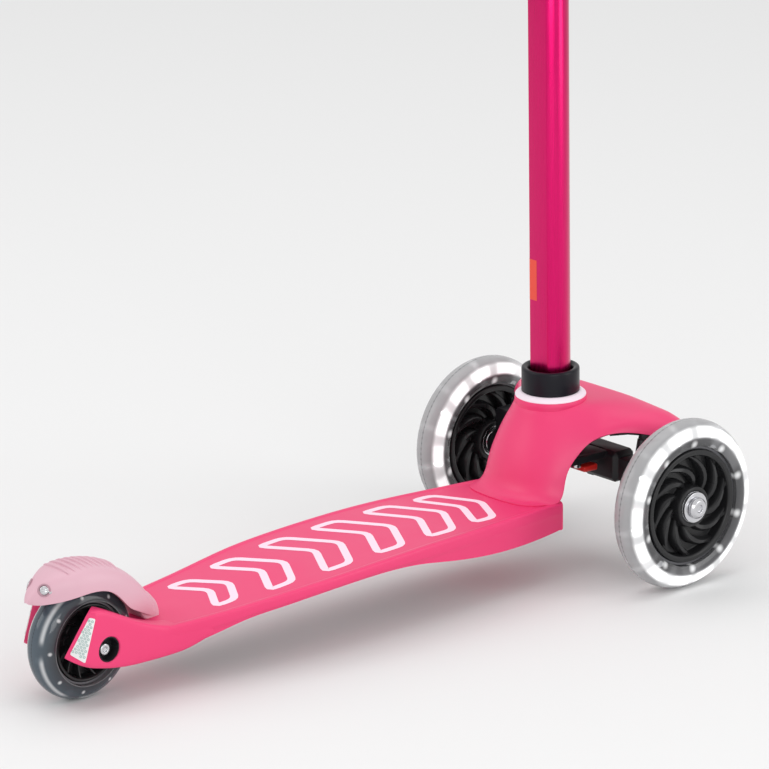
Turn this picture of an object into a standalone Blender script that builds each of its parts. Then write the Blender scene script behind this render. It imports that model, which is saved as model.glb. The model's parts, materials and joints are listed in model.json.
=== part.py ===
# Three-wheeled lean-to-steer kick scooter for small children.
# Units are metres. +Y is forward, +X is the rider's right, z = 0 is the ground,
# and y = 0 is the middle of the scooter's length.
import math

import bmesh
import bpy
from mathutils import Matrix, Vector

MM = 0.001
GAP = 0.3 * MM

# Driving dimensions.
WHEELBASE = 452 * MM
REAR_AXLE_Y = -234 * MM
FRONT_AXLE_Y = REAR_AXLE_Y + WHEELBASE
TRACK = 202 * MM
FRONT_WHEEL_R = 60 * MM
REAR_WHEEL_R = 40 * MM
TYRE_R = 12 * MM
HUB_HALF = 12 * MM
AXLE_R = 4 * MM
BEARING_R = 11 * MM
BEARING_WIDTH = 7 * MM
SHELL = 3 * MM

KINGPIN_X = 64 * MM
KINGPIN_Z = 82 * MM
KINGPIN_TILT = math.radians(12)
STEER_ARM = 22 * MM

STEM_Y = 188.2 * MM
STEM_Z = 121 * MM
STEM_LEAN = math.radians(1.07)
TUBE_R = 14 * MM
TUBE_FLAT = 10.9 * MM
TUBE_WALL = 1.8 * MM
TUBE_TOP = 319 * MM
INNER_R = 10.8 * MM
INNER_FLAT = 7.7 * MM
BAR_Z = 464 * MM
BAR_HALF = 115 * MM

BRAKE_Y = -174 * MM
BRAKE_Z = 41 * MM
LATCH_Y = 213 * MM
LATCH_Z = 75 * MM

FINE = 32
MEDIUM = 20
COARSE = 14
TYRE_STEPS = 28


def new_collection(name):
    collection = bpy.data.collections.new(name)
    bpy.context.scene.collection.children.link(collection)
    return collection


def paint(name, colour, roughness, metallic=0.0, alpha=1.0):
    made = bpy.data.materials.new(name)
    made.use_nodes = True
    shader = made.node_tree.nodes["Principled BSDF"]
    shader.inputs["Base Color"].default_value = (*colour, 1.0)
    shader.inputs["Roughness"].default_value = roughness
    shader.inputs["Metallic"].default_value = metallic
    shader.inputs["Alpha"].default_value = alpha
    return made


def add_object(name, data, colour=None, at=(0, 0, 0), turn=(0, 0, 0), parent=None):
    """Link an object; one with no colour is a cutter or a piece to be joined."""
    thing = bpy.data.objects.new(name, data)
    thing.location = at
    thing.rotation_euler = turn
    thing.parent = parent
    if colour is None:
        CUTTERS.objects.link(thing)
        thing.hide_render = True
        thing.display_type = "WIRE"
    else:
        PARTS.objects.link(thing)
        thing.data.materials.append(colour)
    return thing


def empty(name, at, turn=(0, 0, 0), parent=None):
    made = bpy.data.objects.new(name, None)
    made.location = at
    made.rotation_euler = turn
    made.parent = parent
    PARTS.objects.link(made)
    return made


def mesh_from(name, bm):
    data = bpy.data.meshes.new(name)
    bm.to_mesh(data)
    bm.free()
    return data


ALONG_X = (0, math.pi / 2, 0)
ALONG_Y = (-math.pi / 2, 0, 0)
SIDE_VIEW = (math.pi / 2, 0, math.pi / 2)


def turned(name, profile, colour=None, steps=MEDIUM, closed=False, **place):
    """A turned shape: (radius, height) points that run down the outer side."""
    data = bpy.data.meshes.new(name)
    points = [(radius, 0, height) for radius, height in profile]
    edges = [(i, i + 1) for i in range(len(points) - 1)]
    if closed:
        edges.append((len(points) - 1, 0))
    data.from_pydata(points, edges, [])
    thing = add_object(name, data, colour, **place)
    screw = thing.modifiers.new("turn", "SCREW")
    screw.steps = steps
    screw.render_steps = steps
    screw.use_merge_vertices = True
    screw.merge_threshold = 0.00001
    return thing


def rod(name, radius, low, high, colour=None, steps=COARSE, **place):
    profile = [(0, high), (radius, high), (radius, low), (0, low)]
    return turned(name, profile, colour, steps, **place)


def ring(name, inner, outer, low, high, colour=None, steps=MEDIUM, **place):
    profile = [(inner, high), (outer, high), (outer, low), (inner, low)]
    return turned(name, profile, colour, steps, closed=True, **place)


def box(name, low, high, colour=None, **place):
    """A box between two corners."""
    bm = bmesh.new()
    bmesh.ops.create_cube(bm, size=1)
    low = Vector(low)
    high = Vector(high)
    size = high - low
    bmesh.ops.scale(bm, vec=size, verts=bm.verts)
    bmesh.ops.translate(bm, vec=(low + high) / 2, verts=bm.verts)
    return add_object(name, mesh_from(name, bm), colour, **place)


def as_mesh(curve, colour=None):
    """Turn a curve object into a mesh object with welded caps, in the same place."""
    bpy.context.view_layer.update()
    seen = bpy.context.evaluated_depsgraph_get()
    data = bpy.data.meshes.new_from_object(curve.evaluated_get(seen))
    bm = bmesh.new()
    bm.from_mesh(data)
    bmesh.ops.remove_doubles(bm, verts=bm.verts, dist=0.00001)
    bm.to_mesh(data)
    bm.free()
    data.materials.clear()
    name = curve.name
    world = curve.matrix_world.copy()
    bpy.data.objects.remove(curve)
    thing = add_object(name, data, colour)
    thing.matrix_world = world
    return thing


def prism(name, outline, low, high, colour=None, turn=SIDE_VIEW, at=(0, 0, 0), parent=None):
    """A flat outline extruded from low to high; SIDE_VIEW puts it in the YZ plane."""
    flat = bpy.data.curves.new(name, "CURVE")
    flat.dimensions = "2D"
    flat.fill_mode = "BOTH"
    flat.extrude = (high - low) / 2
    spline = flat.splines.new("POLY")
    spline.points.add(len(outline) - 1)
    for point, (u, v) in zip(spline.points, outline):
        point.co = (u, v, 0, 1)
    spline.use_cyclic_u = True
    curve = add_object(name, flat, None, at, turn, parent)
    curve.matrix_basis = curve.matrix_basis @ Matrix.Translation((0, 0, (low + high) / 2))
    return as_mesh(curve, colour)


def coil(name, radius, wire, length, turns, colour, **place):
    """A helical spring along local z, as one closed wire."""
    data = bpy.data.curves.new(name, "CURVE")
    data.dimensions = "3D"
    data.bevel_depth = wire
    data.bevel_resolution = 0
    data.use_fill_caps = True
    spline = data.splines.new("POLY")
    count = int(turns * 8) + 1
    spline.points.add(count - 1)
    for i, point in enumerate(spline.points):
        angle = math.tau * turns * i / (count - 1)
        height = length * i / (count - 1)
        point.co = (radius * math.cos(angle), radius * math.sin(angle), height, 1)
    curve = add_object(name, data, None, **place)
    return as_mesh(curve, colour)


def combine(thing, tool, operation):
    cut = thing.modifiers.new(tool.name, "BOOLEAN")
    cut.operation = operation
    cut.object = tool
    cut.solver = "EXACT"
    return thing


def join(thing, *tools):
    for tool in tools:
        combine(thing, tool, "UNION")
    return thing


def cut(thing, *tools):
    for tool in tools:
        combine(thing, tool, "DIFFERENCE")
    return thing


def round_edges(thing, width, segments=1):
    bevel = thing.modifiers.new("edges", "BEVEL")
    bevel.width = width
    bevel.segments = segments
    bevel.limit_method = "ANGLE"
    bevel.angle_limit = math.radians(40)
    return thing


def sheet(name, sections, colour=None, thickness=SHELL, mirror=True, **place):
    """A shell lofted through open sections, thickened to its inner side."""
    bm = bmesh.new()
    rows = [[bm.verts.new(point) for point in section] for section in sections]
    for row, after in zip(rows, rows[1:]):
        for i in range(len(row) - 1):
            bm.faces.new((row[i], after[i], after[i + 1], row[i + 1]))
    thing = add_object(name, mesh_from(name, bm), colour, **place)
    if mirror:
        half = thing.modifiers.new("other side", "MIRROR")
        half.merge_threshold = 0.00001
    solid = thing.modifiers.new("thickness", "SOLIDIFY")
    solid.thickness = thickness
    solid.offset = -1
    solid.use_even_offset = True
    return thing


def deck_station(y, top, half, bottom):
    """Half a deck section, from the foot of the skirt up to the centre line."""
    edge = 2.5 * MM
    points = [(half - 0.5 * MM, bottom), (half, top - edge), (half - edge, top),
              (half * 0.5, top), (0, top)]
    return [(x, y, z) for x, z in points]


# y, height of the deck, half width, foot of the skirt.
DECK = [(-190, 44.5, 32, 25), (-173, 45.2, 35, 27.5), (-148, 46.8, 39.5, 34),
        (-123, 48.3, 42.5, 40), (-98, 50.5, 45.8, 42), (-73, 52.6, 49.3, 45),
        (-48, 54.4, 51.1, 48), (-10, 56.3, 51.1, 49), (20, 57.3, 50.6, 49),
        (40, 57.8, 50, 43.6), (69, 57.8, 48.8, 39.1), (99, 57.5, 45.9, 35.9),
        (128, 56.8, 43, 35.2), (151, 56.5, 40.8, 36.5)]


def along(table, y, column):
    """A column of a table of stations, interpolated at y."""
    for low, high in zip(table, table[1:]):
        if y <= high[0]:
            share = (y - low[0]) / (high[0] - low[0])
            return low[column] + share * (high[column] - low[column])
    return table[-1][column]


# Sections of the neck at constant x: y, z from the foot of its back wall to the front rim.
NECK = {
    0: [(147, 37), (146, 58), (147, 72), (152, 88), (158, 102), (162, 112), (170, 119.6),
        (200, 120), (226, 120), (240, 117.5), (249, 110), (252, 101)],
    14: [(148, 37), (147.5, 58), (149, 72), (154, 88), (160, 102), (164.5, 112), (173, 119.6),
         (200, 120), (226, 120), (240, 117.5), (249, 110), (252, 101)],
    26: [(152, 37), (152, 58), (154, 72), (159, 88), (165.5, 102), (173, 112), (183, 119.4),
         (202, 119.7), (227, 119.8), (240, 117), (248.5, 110), (251, 101.5)],
    34: [(158, 37), (158, 58), (160, 72), (166, 87), (174, 101), (181, 110), (190, 116.5),
         (205, 119), (228, 119.2), (240, 116.8), (247.5, 110.5), (249.5, 102.5)],
    38.5: [(164.5, 37), (164.5, 58), (167, 74), (173, 85), (182, 97), (190, 106), (199, 113.2),
           (210, 117.2), (229, 118.8), (240, 116.3), (247, 110.5), (248.5, 103)],
    40.5: [(173.5, 85), (175.5, 88), (178, 91.5), (180.5, 94.5), (184.5, 98.5), (191, 105.5), (200, 112.5),
           (211, 116.7), (229.3, 118.5), (240, 116), (246.8, 110.3), (248.4, 103.1)],
}

# Sections of the arch: x, then y, z of its back rim, crest and front rim.
ARCH = [(46, (195, 101.8), (230, 117.8), (248.3, 103.4)), (56, (207, 103), (233, 115.8), (250, 102.5)),
        (68, (217, 101.6), (236.5, 112), (250.5, 100.8)), (79, (226, 98.8), (240, 107.5), (248, 99.4))]


def arch_section(x, rear, crest, front, inset=0.0):
    """An arch section: two quarter ellipses that meet level at the crest."""
    back = 8
    swept = inset * 1.45
    points = []
    for i in range(back + 1):
        angle = math.pi / 2 * i / back
        y = crest[0] - (crest[0] - rear[0] - swept) * math.cos(angle)
        points.append((y, rear[1] + (crest[1] - rear[1] - inset) * math.sin(angle)))
    for i in range(1, 4):
        angle = math.pi / 2 * i / 3
        y = crest[0] + (front[0] - crest[0] - swept) * math.sin(angle)
        points.append((y, front[1] + (crest[1] - front[1] - inset) * math.cos(angle)))
    return [(x * MM, y * MM, z * MM) for y, z in points]


def arch_at(x):
    """The arch's rims and crest at any x between the first and last section."""
    for low, high in zip(ARCH, ARCH[1:]):
        if x <= high[0]:
            share = (x - low[0]) / (high[0] - low[0])
            return [[a + share * (b - a) for a, b in zip(low[k], high[k])] for k in (1, 2, 3)]
    return [list(point) for point in ARCH[-1][1:]]


def neck_and_arch():
    sections = [[(x * MM, y * MM, z * MM) for y, z in points] for x, points in NECK.items()]
    sections += [arch_section(x, *rims) for x, *rims in ARCH]
    return sheet("neck and arch", sections)


def arm_outline():
    """The rear fork arm seen from the side."""
    points = [(-158, 33), (-174, 26.5), (-208, 24.5), (-234, 27), (-254, 34), (-268, 43),
              (-270, 46), (-252, 66), (-241, 70), (-227, 64), (-212, 59), (-193, 51),
              (-173, 43.5), (-158, 43.5)]
    return [(y * MM, z * MM) for y, z in points]


# The underside plate's top face seen from the side: y, z.
KEEL = [(-158, 30), (-100, 38.5), (-40, 43.5), (104, 44.5)]


def deck(stem):
    sections = []
    for y, top, half, bottom in DECK:
        sections.append(deck_station(y * MM, top * MM, half * MM, bottom * MM))
    board = sheet("deck", sections, PINK)
    round_tools = []
    for side in (-1, 1):
        label = "left" if side < 0 else "right"
        low = min(side * 16, side * 31.7) * MM
        high = max(side * 16, side * 31.7) * MM
        arm = prism(label + " fork arm", arm_outline(), low, high)
        join(board, arm)
        near = min(side * 12.4, side * 17) * MM
        far = max(side * 12.4, side * 17) * MM
        boss = rod(label + " axle boss", 7.5 * MM, near, far, turn=ALONG_X,
                   at=(0, REAR_AXLE_Y, REAR_WHEEL_R))
        join(board, boss)
        rib = [(y * MM, (z + 0.3) * MM) for y, z in KEEL]
        rib += [(y * MM, (along(DECK, y, 1) - 1.4) * MM) for y in (104, 40, -10, -48, -98, -158)]
        join(board, prism(label + " rib", rib, side * 18 * MM - 2 * MM, side * 18 * MM + 2 * MM))
        recess = (25.7 * MM, 40 * MM)
        recess = recess if side > 0 else (-recess[1], -recess[0])
        round_tools.append(rod(label + " bolt recess", 9 * MM, *recess, steps=20, turn=ALONG_X,
                               at=(0, REAR_AXLE_Y, REAR_WHEEL_R + 1.7 * MM)))
    join(board, neck_and_arch())
    join(board, box("rear wall", (-31 * MM, -189 * MM, 27 * MM), (31 * MM, -185 * MM, 43 * MM)))
    join(board, box("brake pocket", (-21 * MM, -187 * MM, 31 * MM), (21 * MM, -160 * MM, 44.4 * MM)))
    join(board, rod("stem housing", 24 * MM, -37 * MM, -2 * MM, steps=FINE, parent=stem))
    join(board, box("stem rib", (-3 * MM, 149 * MM, 60 * MM), (3 * MM, 170 * MM, 116 * MM)))
    cut(board, box("brake pocket mouth", (-17 * MM, -184 * MM, 34 * MM), (17 * MM, -163 * MM, 60 * MM)))
    cut(board, rod("brake pin hole", 2.3 * MM, -20 * MM, 20 * MM, turn=ALONG_X, at=(0, BRAKE_Y, BRAKE_Z)))
    cut(board, rod("rear axle hole", AXLE_R + GAP, -40 * MM, 40 * MM, turn=ALONG_X,
                   at=(0, REAR_AXLE_Y, REAR_WHEEL_R)))
    cut(board, *round_tools)
    cut(board, rod("stem seat", 25 * MM, -1.3 * MM, 20 * MM, steps=FINE, parent=stem))
    cut(board, box("latch window", (-5.6 * MM, 198 * MM, 80 * MM), (5.6 * MM, 216 * MM, 97 * MM)))
    cut(board, rod("stem bore", 18.6 * MM, -50 * MM, 10 * MM, steps=FINE, parent=stem))
    for side in (-1, 1):
        where = (side * 28 * MM, 186 * MM, 0)
        post = rod("carrier boss %d" % side, 4.5 * MM, 84 * MM, 110 * MM, at=where)
        join(board, post)
        cut(board, rod("carrier screw hole %d" % side, 2.3 * MM, 80 * MM, 97 * MM, at=where))
    return board


def underside():
    low = [(y * MM, (z - 2.6) * MM) for y, z in KEEL]
    high = [(y * MM, z * MM) for y, z in reversed(KEEL)]
    prism("underside_plate", low + high, -26 * MM, 26 * MM, BLACK)


def reflectors():
    outline = [(-250, 64.5), (-246, 66.5), (-253, 36), (-266.5, 45)]
    outline = [(y * MM, z * MM) for y, z in outline]
    for name, side in (("left_reflector", -1), ("right_reflector", 1)):
        faces = sorted((side * 32 * MM, side * 32.8 * MM))
        prism(name, outline, *faces, WHITE)


def tube_outline(radius, flat, steps=20):
    """A round tube section with one flat at the back."""
    half = math.acos(flat / radius)
    start = -math.pi / 2 + half
    sweep = math.tau - 2 * half
    return [(radius * math.cos(start + sweep * i / steps), radius * math.sin(start + sweep * i / steps))
            for i in range(steps + 1)]


UPRIGHT = (0, 0, 0)


def stem_tube(name, radius, flat, wall, low, high, colour, stem):
    tube = prism(name, tube_outline(radius, flat), low, high, colour, UPRIGHT, parent=stem)
    hollow = prism(name + " hollow", tube_outline(radius - wall, flat - wall), low - MM, high + MM,
                   turn=UPRIGHT, parent=stem)
    return cut(tube, hollow)


def stem_parts(stem):
    profile = [(16.3 * MM, 21 * MM), (20 * MM, 21 * MM), (20 * MM, 1.6 * MM), (18.3 * MM, 1.6 * MM),
               (18.3 * MM, -35 * MM), (14.4 * MM, -35 * MM), (14.4 * MM, 17 * MM)]
    sleeve = turned("socket_sleeve", profile, BLACK, FINE, closed=True, parent=stem)
    join(sleeve, box("sleeve key", (-8 * MM, -16 * MM, -34.6 * MM), (8 * MM, -11.3 * MM, 8 * MM), parent=stem))
    cut(sleeve, box("sleeve window", (-5.3 * MM, 10 * MM, -40 * MM), (5.3 * MM, 22 * MM, -24 * MM), parent=stem))
    ring("head_ring", 18.7 * MM, 24.6 * MM, -MM, 1.3 * MM, PALE, FINE, parent=stem)

    tube = stem_tube("lower_tube", TUBE_R, TUBE_FLAT, TUBE_WALL, -33 * MM, TUBE_TOP, MAGENTA, stem)
    cut(tube, box("latch slot", (-5.3 * MM, 10 * MM, -32.5 * MM), (5.3 * MM, 16 * MM, -27 * MM), parent=stem))
    plug = tube_outline(TUBE_R - TUBE_WALL - GAP, TUBE_FLAT - TUBE_WALL - GAP)
    foot = prism("tube_foot", plug, -34 * MM, -8 * MM, BLACK, UPRIGHT, parent=stem)
    join(foot, prism("foot flange", tube_outline(TUBE_R, TUBE_FLAT), -35 * MM, -33 * MM - GAP,
                     turn=UPRIGHT, parent=stem))

    stem_tube("upper_tube", INNER_R, INNER_FLAT, 1.6 * MM, TUBE_TOP - 155 * MM, BAR_Z - 12.2 * MM, SILVER, stem)


CLAMP_Y = 24 * MM
CLAMP_LOW = 297 * MM
CLAMP_HIGH = 332 * MM
CLAMP_Z = (CLAMP_LOW + CLAMP_HIGH) / 2


def clamp(stem):
    profile = [(11.5 * MM, CLAMP_HIGH), (17.5 * MM, CLAMP_HIGH), (19 * MM, CLAMP_HIGH - 2 * MM),
               (19 * MM, CLAMP_LOW + 2 * MM), (17.5 * MM, CLAMP_LOW), (14.3 * MM, CLAMP_LOW),
               (14.3 * MM, TUBE_TOP + 2.4 * MM), (11.5 * MM, TUBE_TOP + 2.4 * MM)]
    collar = turned("clamp_collar", profile, BLACK, MEDIUM, closed=True, parent=stem)
    ears = box("clamp ears", (-8 * MM, 16.5 * MM, CLAMP_Z - 11 * MM), (8 * MM, 30 * MM, CLAMP_Z + 11 * MM),
               parent=stem)
    join(collar, ears)
    cut(collar, box("clamp slit", (-MM, 9 * MM, CLAMP_LOW - MM), (MM, 32 * MM, CLAMP_HIGH + MM), parent=stem))
    cut(collar, rod("clamp hole", 2.8 * MM, -12 * MM, 12 * MM, turn=ALONG_X, at=(0, CLAMP_Y, CLAMP_Z), parent=stem))

    bolt = rod("clamp_bolt", 2.5 * MM, -13 * MM, 14.5 * MM, STEEL, turn=ALONG_X,
               at=(0, CLAMP_Y, CLAMP_Z), parent=stem)
    eye = (14.5 * MM, CLAMP_Y, CLAMP_Z)
    join(bolt, rod("bolt eye", 4 * MM, -3 * MM, 3 * MM, at=eye, parent=stem))
    cut(bolt, rod("bolt eye hole", 1.8 * MM, -9 * MM, 9 * MM, at=eye, parent=stem))
    ring("clamp_nut", 3.2 * MM, 5.4 * MM, -12.6 * MM, -8.3 * MM, STEEL, 6, turn=ALONG_X,
         at=(0, CLAMP_Y, CLAMP_Z), parent=stem)
    rod("clamp_pin", 1.5 * MM, -8.2 * MM, 8.2 * MM, STEEL, at=eye, parent=stem)

    outline = [(-5.5, 1.5), (-4.1, 4.2), (-1.5, 5.7), (2.6, 5.5), (6, 2), (6.2, -8), (9.6, -22), (8.6, -40),
               (6.6, -42), (5.6, -40), (6.4, -24), (1.5, -12), (-4.6, -4), (-5.5, -1.5)]
    outline = [(x * MM, y * MM) for x, y in outline]
    lever = prism("clamp_lever", outline, -8 * MM, 8 * MM, BLACK, UPRIGHT, at=eye, parent=stem)
    cut(lever, box("lever fork", (-9 * MM, -10 * MM, -3.4 * MM), (4.6 * MM, 9 * MM, 3.4 * MM), at=eye, parent=stem))
    cut(lever, rod("lever pin hole", 1.8 * MM, -9 * MM, 9 * MM, at=eye, parent=stem))


def handlebar(stem):
    bar = (0, 0, BAR_Z)
    tee = rod("bar_tee", 14.5 * MM, -28 * MM, 28 * MM, BLACK, MEDIUM, turn=ALONG_X, at=bar, parent=stem)
    join(tee, rod("tee socket", 14 * MM, BAR_Z - 30 * MM, BAR_Z, steps=MEDIUM, parent=stem))
    cut(tee, rod("tee bore", INNER_R + GAP, BAR_Z - 40 * MM, BAR_Z - 11.8 * MM, steps=MEDIUM, parent=stem))
    cut(tee, rod("bar bore", 11.5 * MM, -40 * MM, 40 * MM, steps=MEDIUM, turn=ALONG_X, at=bar, parent=stem))
    ring("handlebar", 9.4 * MM, 11 * MM, -BAR_HALF, BAR_HALF, SILVER, turn=ALONG_X, at=bar, parent=stem)
    for name, turn in (("right_grip", ALONG_X), ("left_grip", (0, -math.pi / 2, 0))):
        start = 28.5 * MM
        end = BAR_HALF + 10 * MM
        profile = [(0, end), (11 * MM, end), (17 * MM, end - 3 * MM), (18 * MM, end - 8 * MM),
                   (15 * MM, end - 14 * MM), (15.8 * MM, end - 45 * MM), (14.4 * MM, start + 8 * MM),
                   (18.5 * MM, start + 4 * MM), (18.5 * MM, start), (11.4 * MM, start),
                   (11.4 * MM, BAR_HALF + GAP), (0, BAR_HALF + GAP)]
        turned(name, profile, RUBBER, MEDIUM, turn=turn, at=bar, parent=stem)


def carrier(kingpins):
    """The black cross beam under the neck that holds the steering arms."""
    beam = box("front_carrier", (-44 * MM, 209 * MM, 62 * MM), (44 * MM, 229 * MM, 84 * MM), BLACK)
    round_edges(beam, 3 * MM)
    join(beam, box("carrier plate", (-34 * MM, 176 * MM, 79 * MM), (34 * MM, 211 * MM, 83.7 * MM)))
    join(beam, box("carrier bar", (-53.5 * MM, 212 * MM, 64 * MM), (53.5 * MM, 226 * MM, 80 * MM)))
    join(beam, box("rod guide", (-3 * MM, 227 * MM, 54.5 * MM), (3 * MM, 244 * MM, 70 * MM)))
    for side, pivot in kingpins.items():
        join(beam, rod("carrier lug %d" % side, 8 * MM, -20 * MM, -12.6 * MM, parent=pivot, steps=18))
        inner = sorted((-side * 14 * MM, 0))
        join(beam, box("lug web %d" % side, (inner[0], -6.5 * MM, -19.6 * MM), (inner[1], 6.5 * MM, -13 * MM),
                       parent=pivot))
        cut(beam, rod("lug hole %d" % side, 3.3 * MM, -30 * MM, 0, parent=pivot))
        where = (side * 28 * MM, 186 * MM, 0)
        cut(beam, rod("plate screw hole %d" % side, 2.3 * MM, 70 * MM, 90 * MM, at=where))
        profile = [(0, 95 * MM), (2 * MM, 95 * MM), (2 * MM, 78.7 * MM), (4.2 * MM, 78.7 * MM),
                   (4.2 * MM, 75.5 * MM), (0, 75.5 * MM)]
        name = ("left" if side < 0 else "right") + "_carrier_screw"
        turned(name, profile, STEEL, COARSE, at=where)
    rod_y, rod_z = tie_rod_place()
    cut(beam, rod("rod hole", 4.4 * MM, -9 * MM, 9 * MM, turn=ALONG_X, at=(0, rod_y, rod_z)))
    cut(beam, box("latch notch", (-9 * MM, 170 * MM, 55 * MM), (9 * MM, 221 * MM, 90 * MM)))
    cut(beam, rod("latch pin hole", 2.3 * MM, -17 * MM, 17 * MM, turn=ALONG_X, at=(0, LATCH_Y, LATCH_Z)))


def tie_rod_place():
    """Height and distance of the tie rod, which hangs below the steering arms."""
    drop = -15.5 * MM
    y = FRONT_AXLE_Y + STEER_ARM * math.cos(KINGPIN_TILT) + drop * math.sin(KINGPIN_TILT)
    z = KINGPIN_Z - STEER_ARM * math.sin(KINGPIN_TILT) + drop * math.cos(KINGPIN_TILT)
    return y, z


def latch():
    lever = box("release_lever", (-8 * MM, 178 * MM, 70 * MM), (8 * MM, 207 * MM, 76 * MM), RED)
    join(lever, box("lever nose", (-5 * MM, 205 * MM, 70 * MM), (5 * MM, 219 * MM, 78.5 * MM)))
    join(lever, box("latch tooth", (-4.8 * MM, 204.2 * MM, 74 * MM), (4.8 * MM, 208 * MM, 93 * MM)))
    cut(lever, rod("lever hole", 2.3 * MM, -9 * MM, 9 * MM, turn=ALONG_X, at=(0, LATCH_Y, LATCH_Z)))
    rod("latch_pin", 2 * MM, -16.5 * MM, 16.5 * MM, STEEL, turn=ALONG_X, at=(0, LATCH_Y, LATCH_Z))
    coil("latch_spring", 3.3 * MM, 0.5 * MM, 2.2 * MM, 2, STEEL, turn=ALONG_X,
         at=(5.9 * MM, LATCH_Y, LATCH_Z))


def arch_liner(side, pivot):
    """The black lining under one end of the arch, with the upper kingpin lug."""
    inset = (SHELL + 1.4 * MM) / MM
    sections = []
    for x in (46, 54, 62, 70, 78.5):
        rear, crest, front = arch_at(x)
        rear[1] -= 3
        section = arch_section(x, rear, crest, front, inset)
        sections.append([(side * px, py, pz) for px, py, pz in section])
    if side < 0:
        sections.reverse()
    name = ("left" if side < 0 else "right") + "_arch_liner"
    liner = sheet(name, sections, BLACK, 2 * MM, mirror=False)
    join(liner, rod("upper lug %d" % side, 7 * MM, 14.6 * MM, 18.6 * MM, parent=pivot, steps=18))
    return cut(liner, rod("upper lug hole %d" % side, 3.3 * MM, 10 * MM, 17 * MM, parent=pivot))


def steering_arm(side, pivot):
    label = "left" if side < 0 else "right"

    def across(name, low, high):
        ends = sorted((side * low[0], side * high[0]))
        return box(name + " %d" % side, (ends[0], low[1], low[2]), (ends[1], high[1], high[2]))

    arm = rod(label + "_steering_arm", 7.5 * MM, -12.2 * MM, 14.2 * MM, BLACK, 20, parent=pivot)
    join(arm, across("arm shoulder", (66.8 * MM, 211.2 * MM, 73.3 * MM), (79.5 * MM, 224.9 * MM, 88.6 * MM)))
    join(arm, across("arm drop", (73.6 * MM, 211.5 * MM, 55 * MM), (81 * MM, 224.5 * MM, 87 * MM)))
    hub = (0, FRONT_AXLE_Y, FRONT_WHEEL_R)
    boss = sorted((side * 74 * MM, side * 86.3 * MM))
    nose = sorted((side * 85 * MM, side * 88.6 * MM))
    join(arm, rod("hub boss %d" % side, 10 * MM, *boss, turn=ALONG_X, at=hub, steps=20))
    join(arm, rod("hub nose %d" % side, 6.2 * MM, *nose, turn=ALONG_X, at=hub))
    join(arm, box("track arm %d" % side, (-5 * MM, 4 * MM, -12 * MM), (5 * MM, 24.5 * MM, -6.5 * MM),
                  parent=pivot))
    join(arm, rod("rod stud %d" % side, 3 * MM, -19.6 * MM, -8 * MM, at=(0, STEER_ARM, 0), parent=pivot))
    bore = sorted((side * 76 * MM, side * 95 * MM))
    cut(arm, rod("kingpin bore %d" % side, 3.3 * MM, -20 * MM, 20 * MM, parent=pivot))
    cut(arm, rod("axle thread %d" % side, AXLE_R + GAP, *bore, turn=ALONG_X, at=hub))

    profile = [(0, 16.6 * MM), (3 * MM, 16.6 * MM), (3 * MM, -20.3 * MM), (5.5 * MM, -20.3 * MM),
               (5.5 * MM, -23.5 * MM), (0, -23.5 * MM)]
    turned(label + "_kingpin", profile, STEEL, COARSE, parent=pivot)


def tie_rod():
    y, z = tie_rod_place()
    reach = KINGPIN_X - 3.9 * MM
    collar = 5.4 * MM
    slim = 2.5 * MM
    profile = [(0, reach), (slim, reach), (slim, 31 * MM), (collar, 31 * MM), (collar, 27.5 * MM),
               (slim, 27.5 * MM), (slim, -27.5 * MM), (collar, -27.5 * MM), (collar, -31 * MM),
               (slim, -31 * MM), (slim, -reach), (0, -reach)]
    bar = turned("tie_rod", profile, STEEL, COARSE, turn=ALONG_X, at=(0, y, z))
    for side in (-1, 1):
        eye = dict(at=(side * KINGPIN_X, y, z), turn=(-KINGPIN_TILT, 0, 0))
        join(bar, rod("rod eye %d" % side, 6 * MM, -2.9 * MM, 2.9 * MM, steps=16, **eye))
        cut(bar, rod("rod eye hole %d" % side, 3.3 * MM, -9 * MM, 9 * MM, **eye))
    for name, start in (("left_steer_spring", -26.6 * MM), ("right_steer_spring", 4.6 * MM)):
        coil(name, 4.1 * MM, 0.6 * MM, 22 * MM, 5, STEEL, turn=ALONG_X, at=(start, y, z))


def tyre_profile(outer, seat, steps):
    """A round tyre section cut flat at its seat radius."""
    middle = outer - TYRE_R
    start = math.asin((seat - middle) / TYRE_R)
    sweep = math.pi - 2 * start
    angles = [start + sweep * i / steps for i in range(steps + 1)]
    return [(middle + TYRE_R * math.sin(a), TYRE_R * math.cos(a)) for a in angles]


def core_profile(outer, hub, rim, half):
    """Hub, thin web and rim of a wheel core, with a bearing seat on each side."""
    seat = BEARING_R + GAP
    stop = 4.4 * MM
    upper = [(seat, HUB_HALF), (hub, HUB_HALF), (hub + MM, 4 * MM), (rim, 3 * MM),
             (rim + MM, half), (outer, half)]
    lower = [(radius, -height) for radius, height in reversed(upper)]
    return upper + lower + [(seat, -stop), (9.5 * MM, -stop), (9.5 * MM, stop), (seat, stop)]


def wheel(label, hub, outer, seat, core, rim, lamp, steps):
    """Tyre, light ring, core and two bearings around a local x axis."""
    place = dict(turn=ALONG_X, parent=hub)
    turned(label + "_tyre", tyre_profile(outer, seat, 8), CLEAR, steps, closed=True, **place)
    ring(label + "_light_ring", core + GAP, seat - GAP, -lamp, lamp, LAMP, 24, **place)
    turned(label + "_core", core_profile(core, 14 * MM, rim, 10 * MM), BLACK, 24, closed=True, **place)
    near = 4.7 * MM
    far = near + BEARING_WIDTH
    ring(label + "_outer_bearing", AXLE_R + GAP, BEARING_R, near, far, STEEL, 16, **place)
    ring(label + "_inner_bearing", AXLE_R + GAP, BEARING_R, -far, -near, STEEL, 16, **place)


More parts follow.
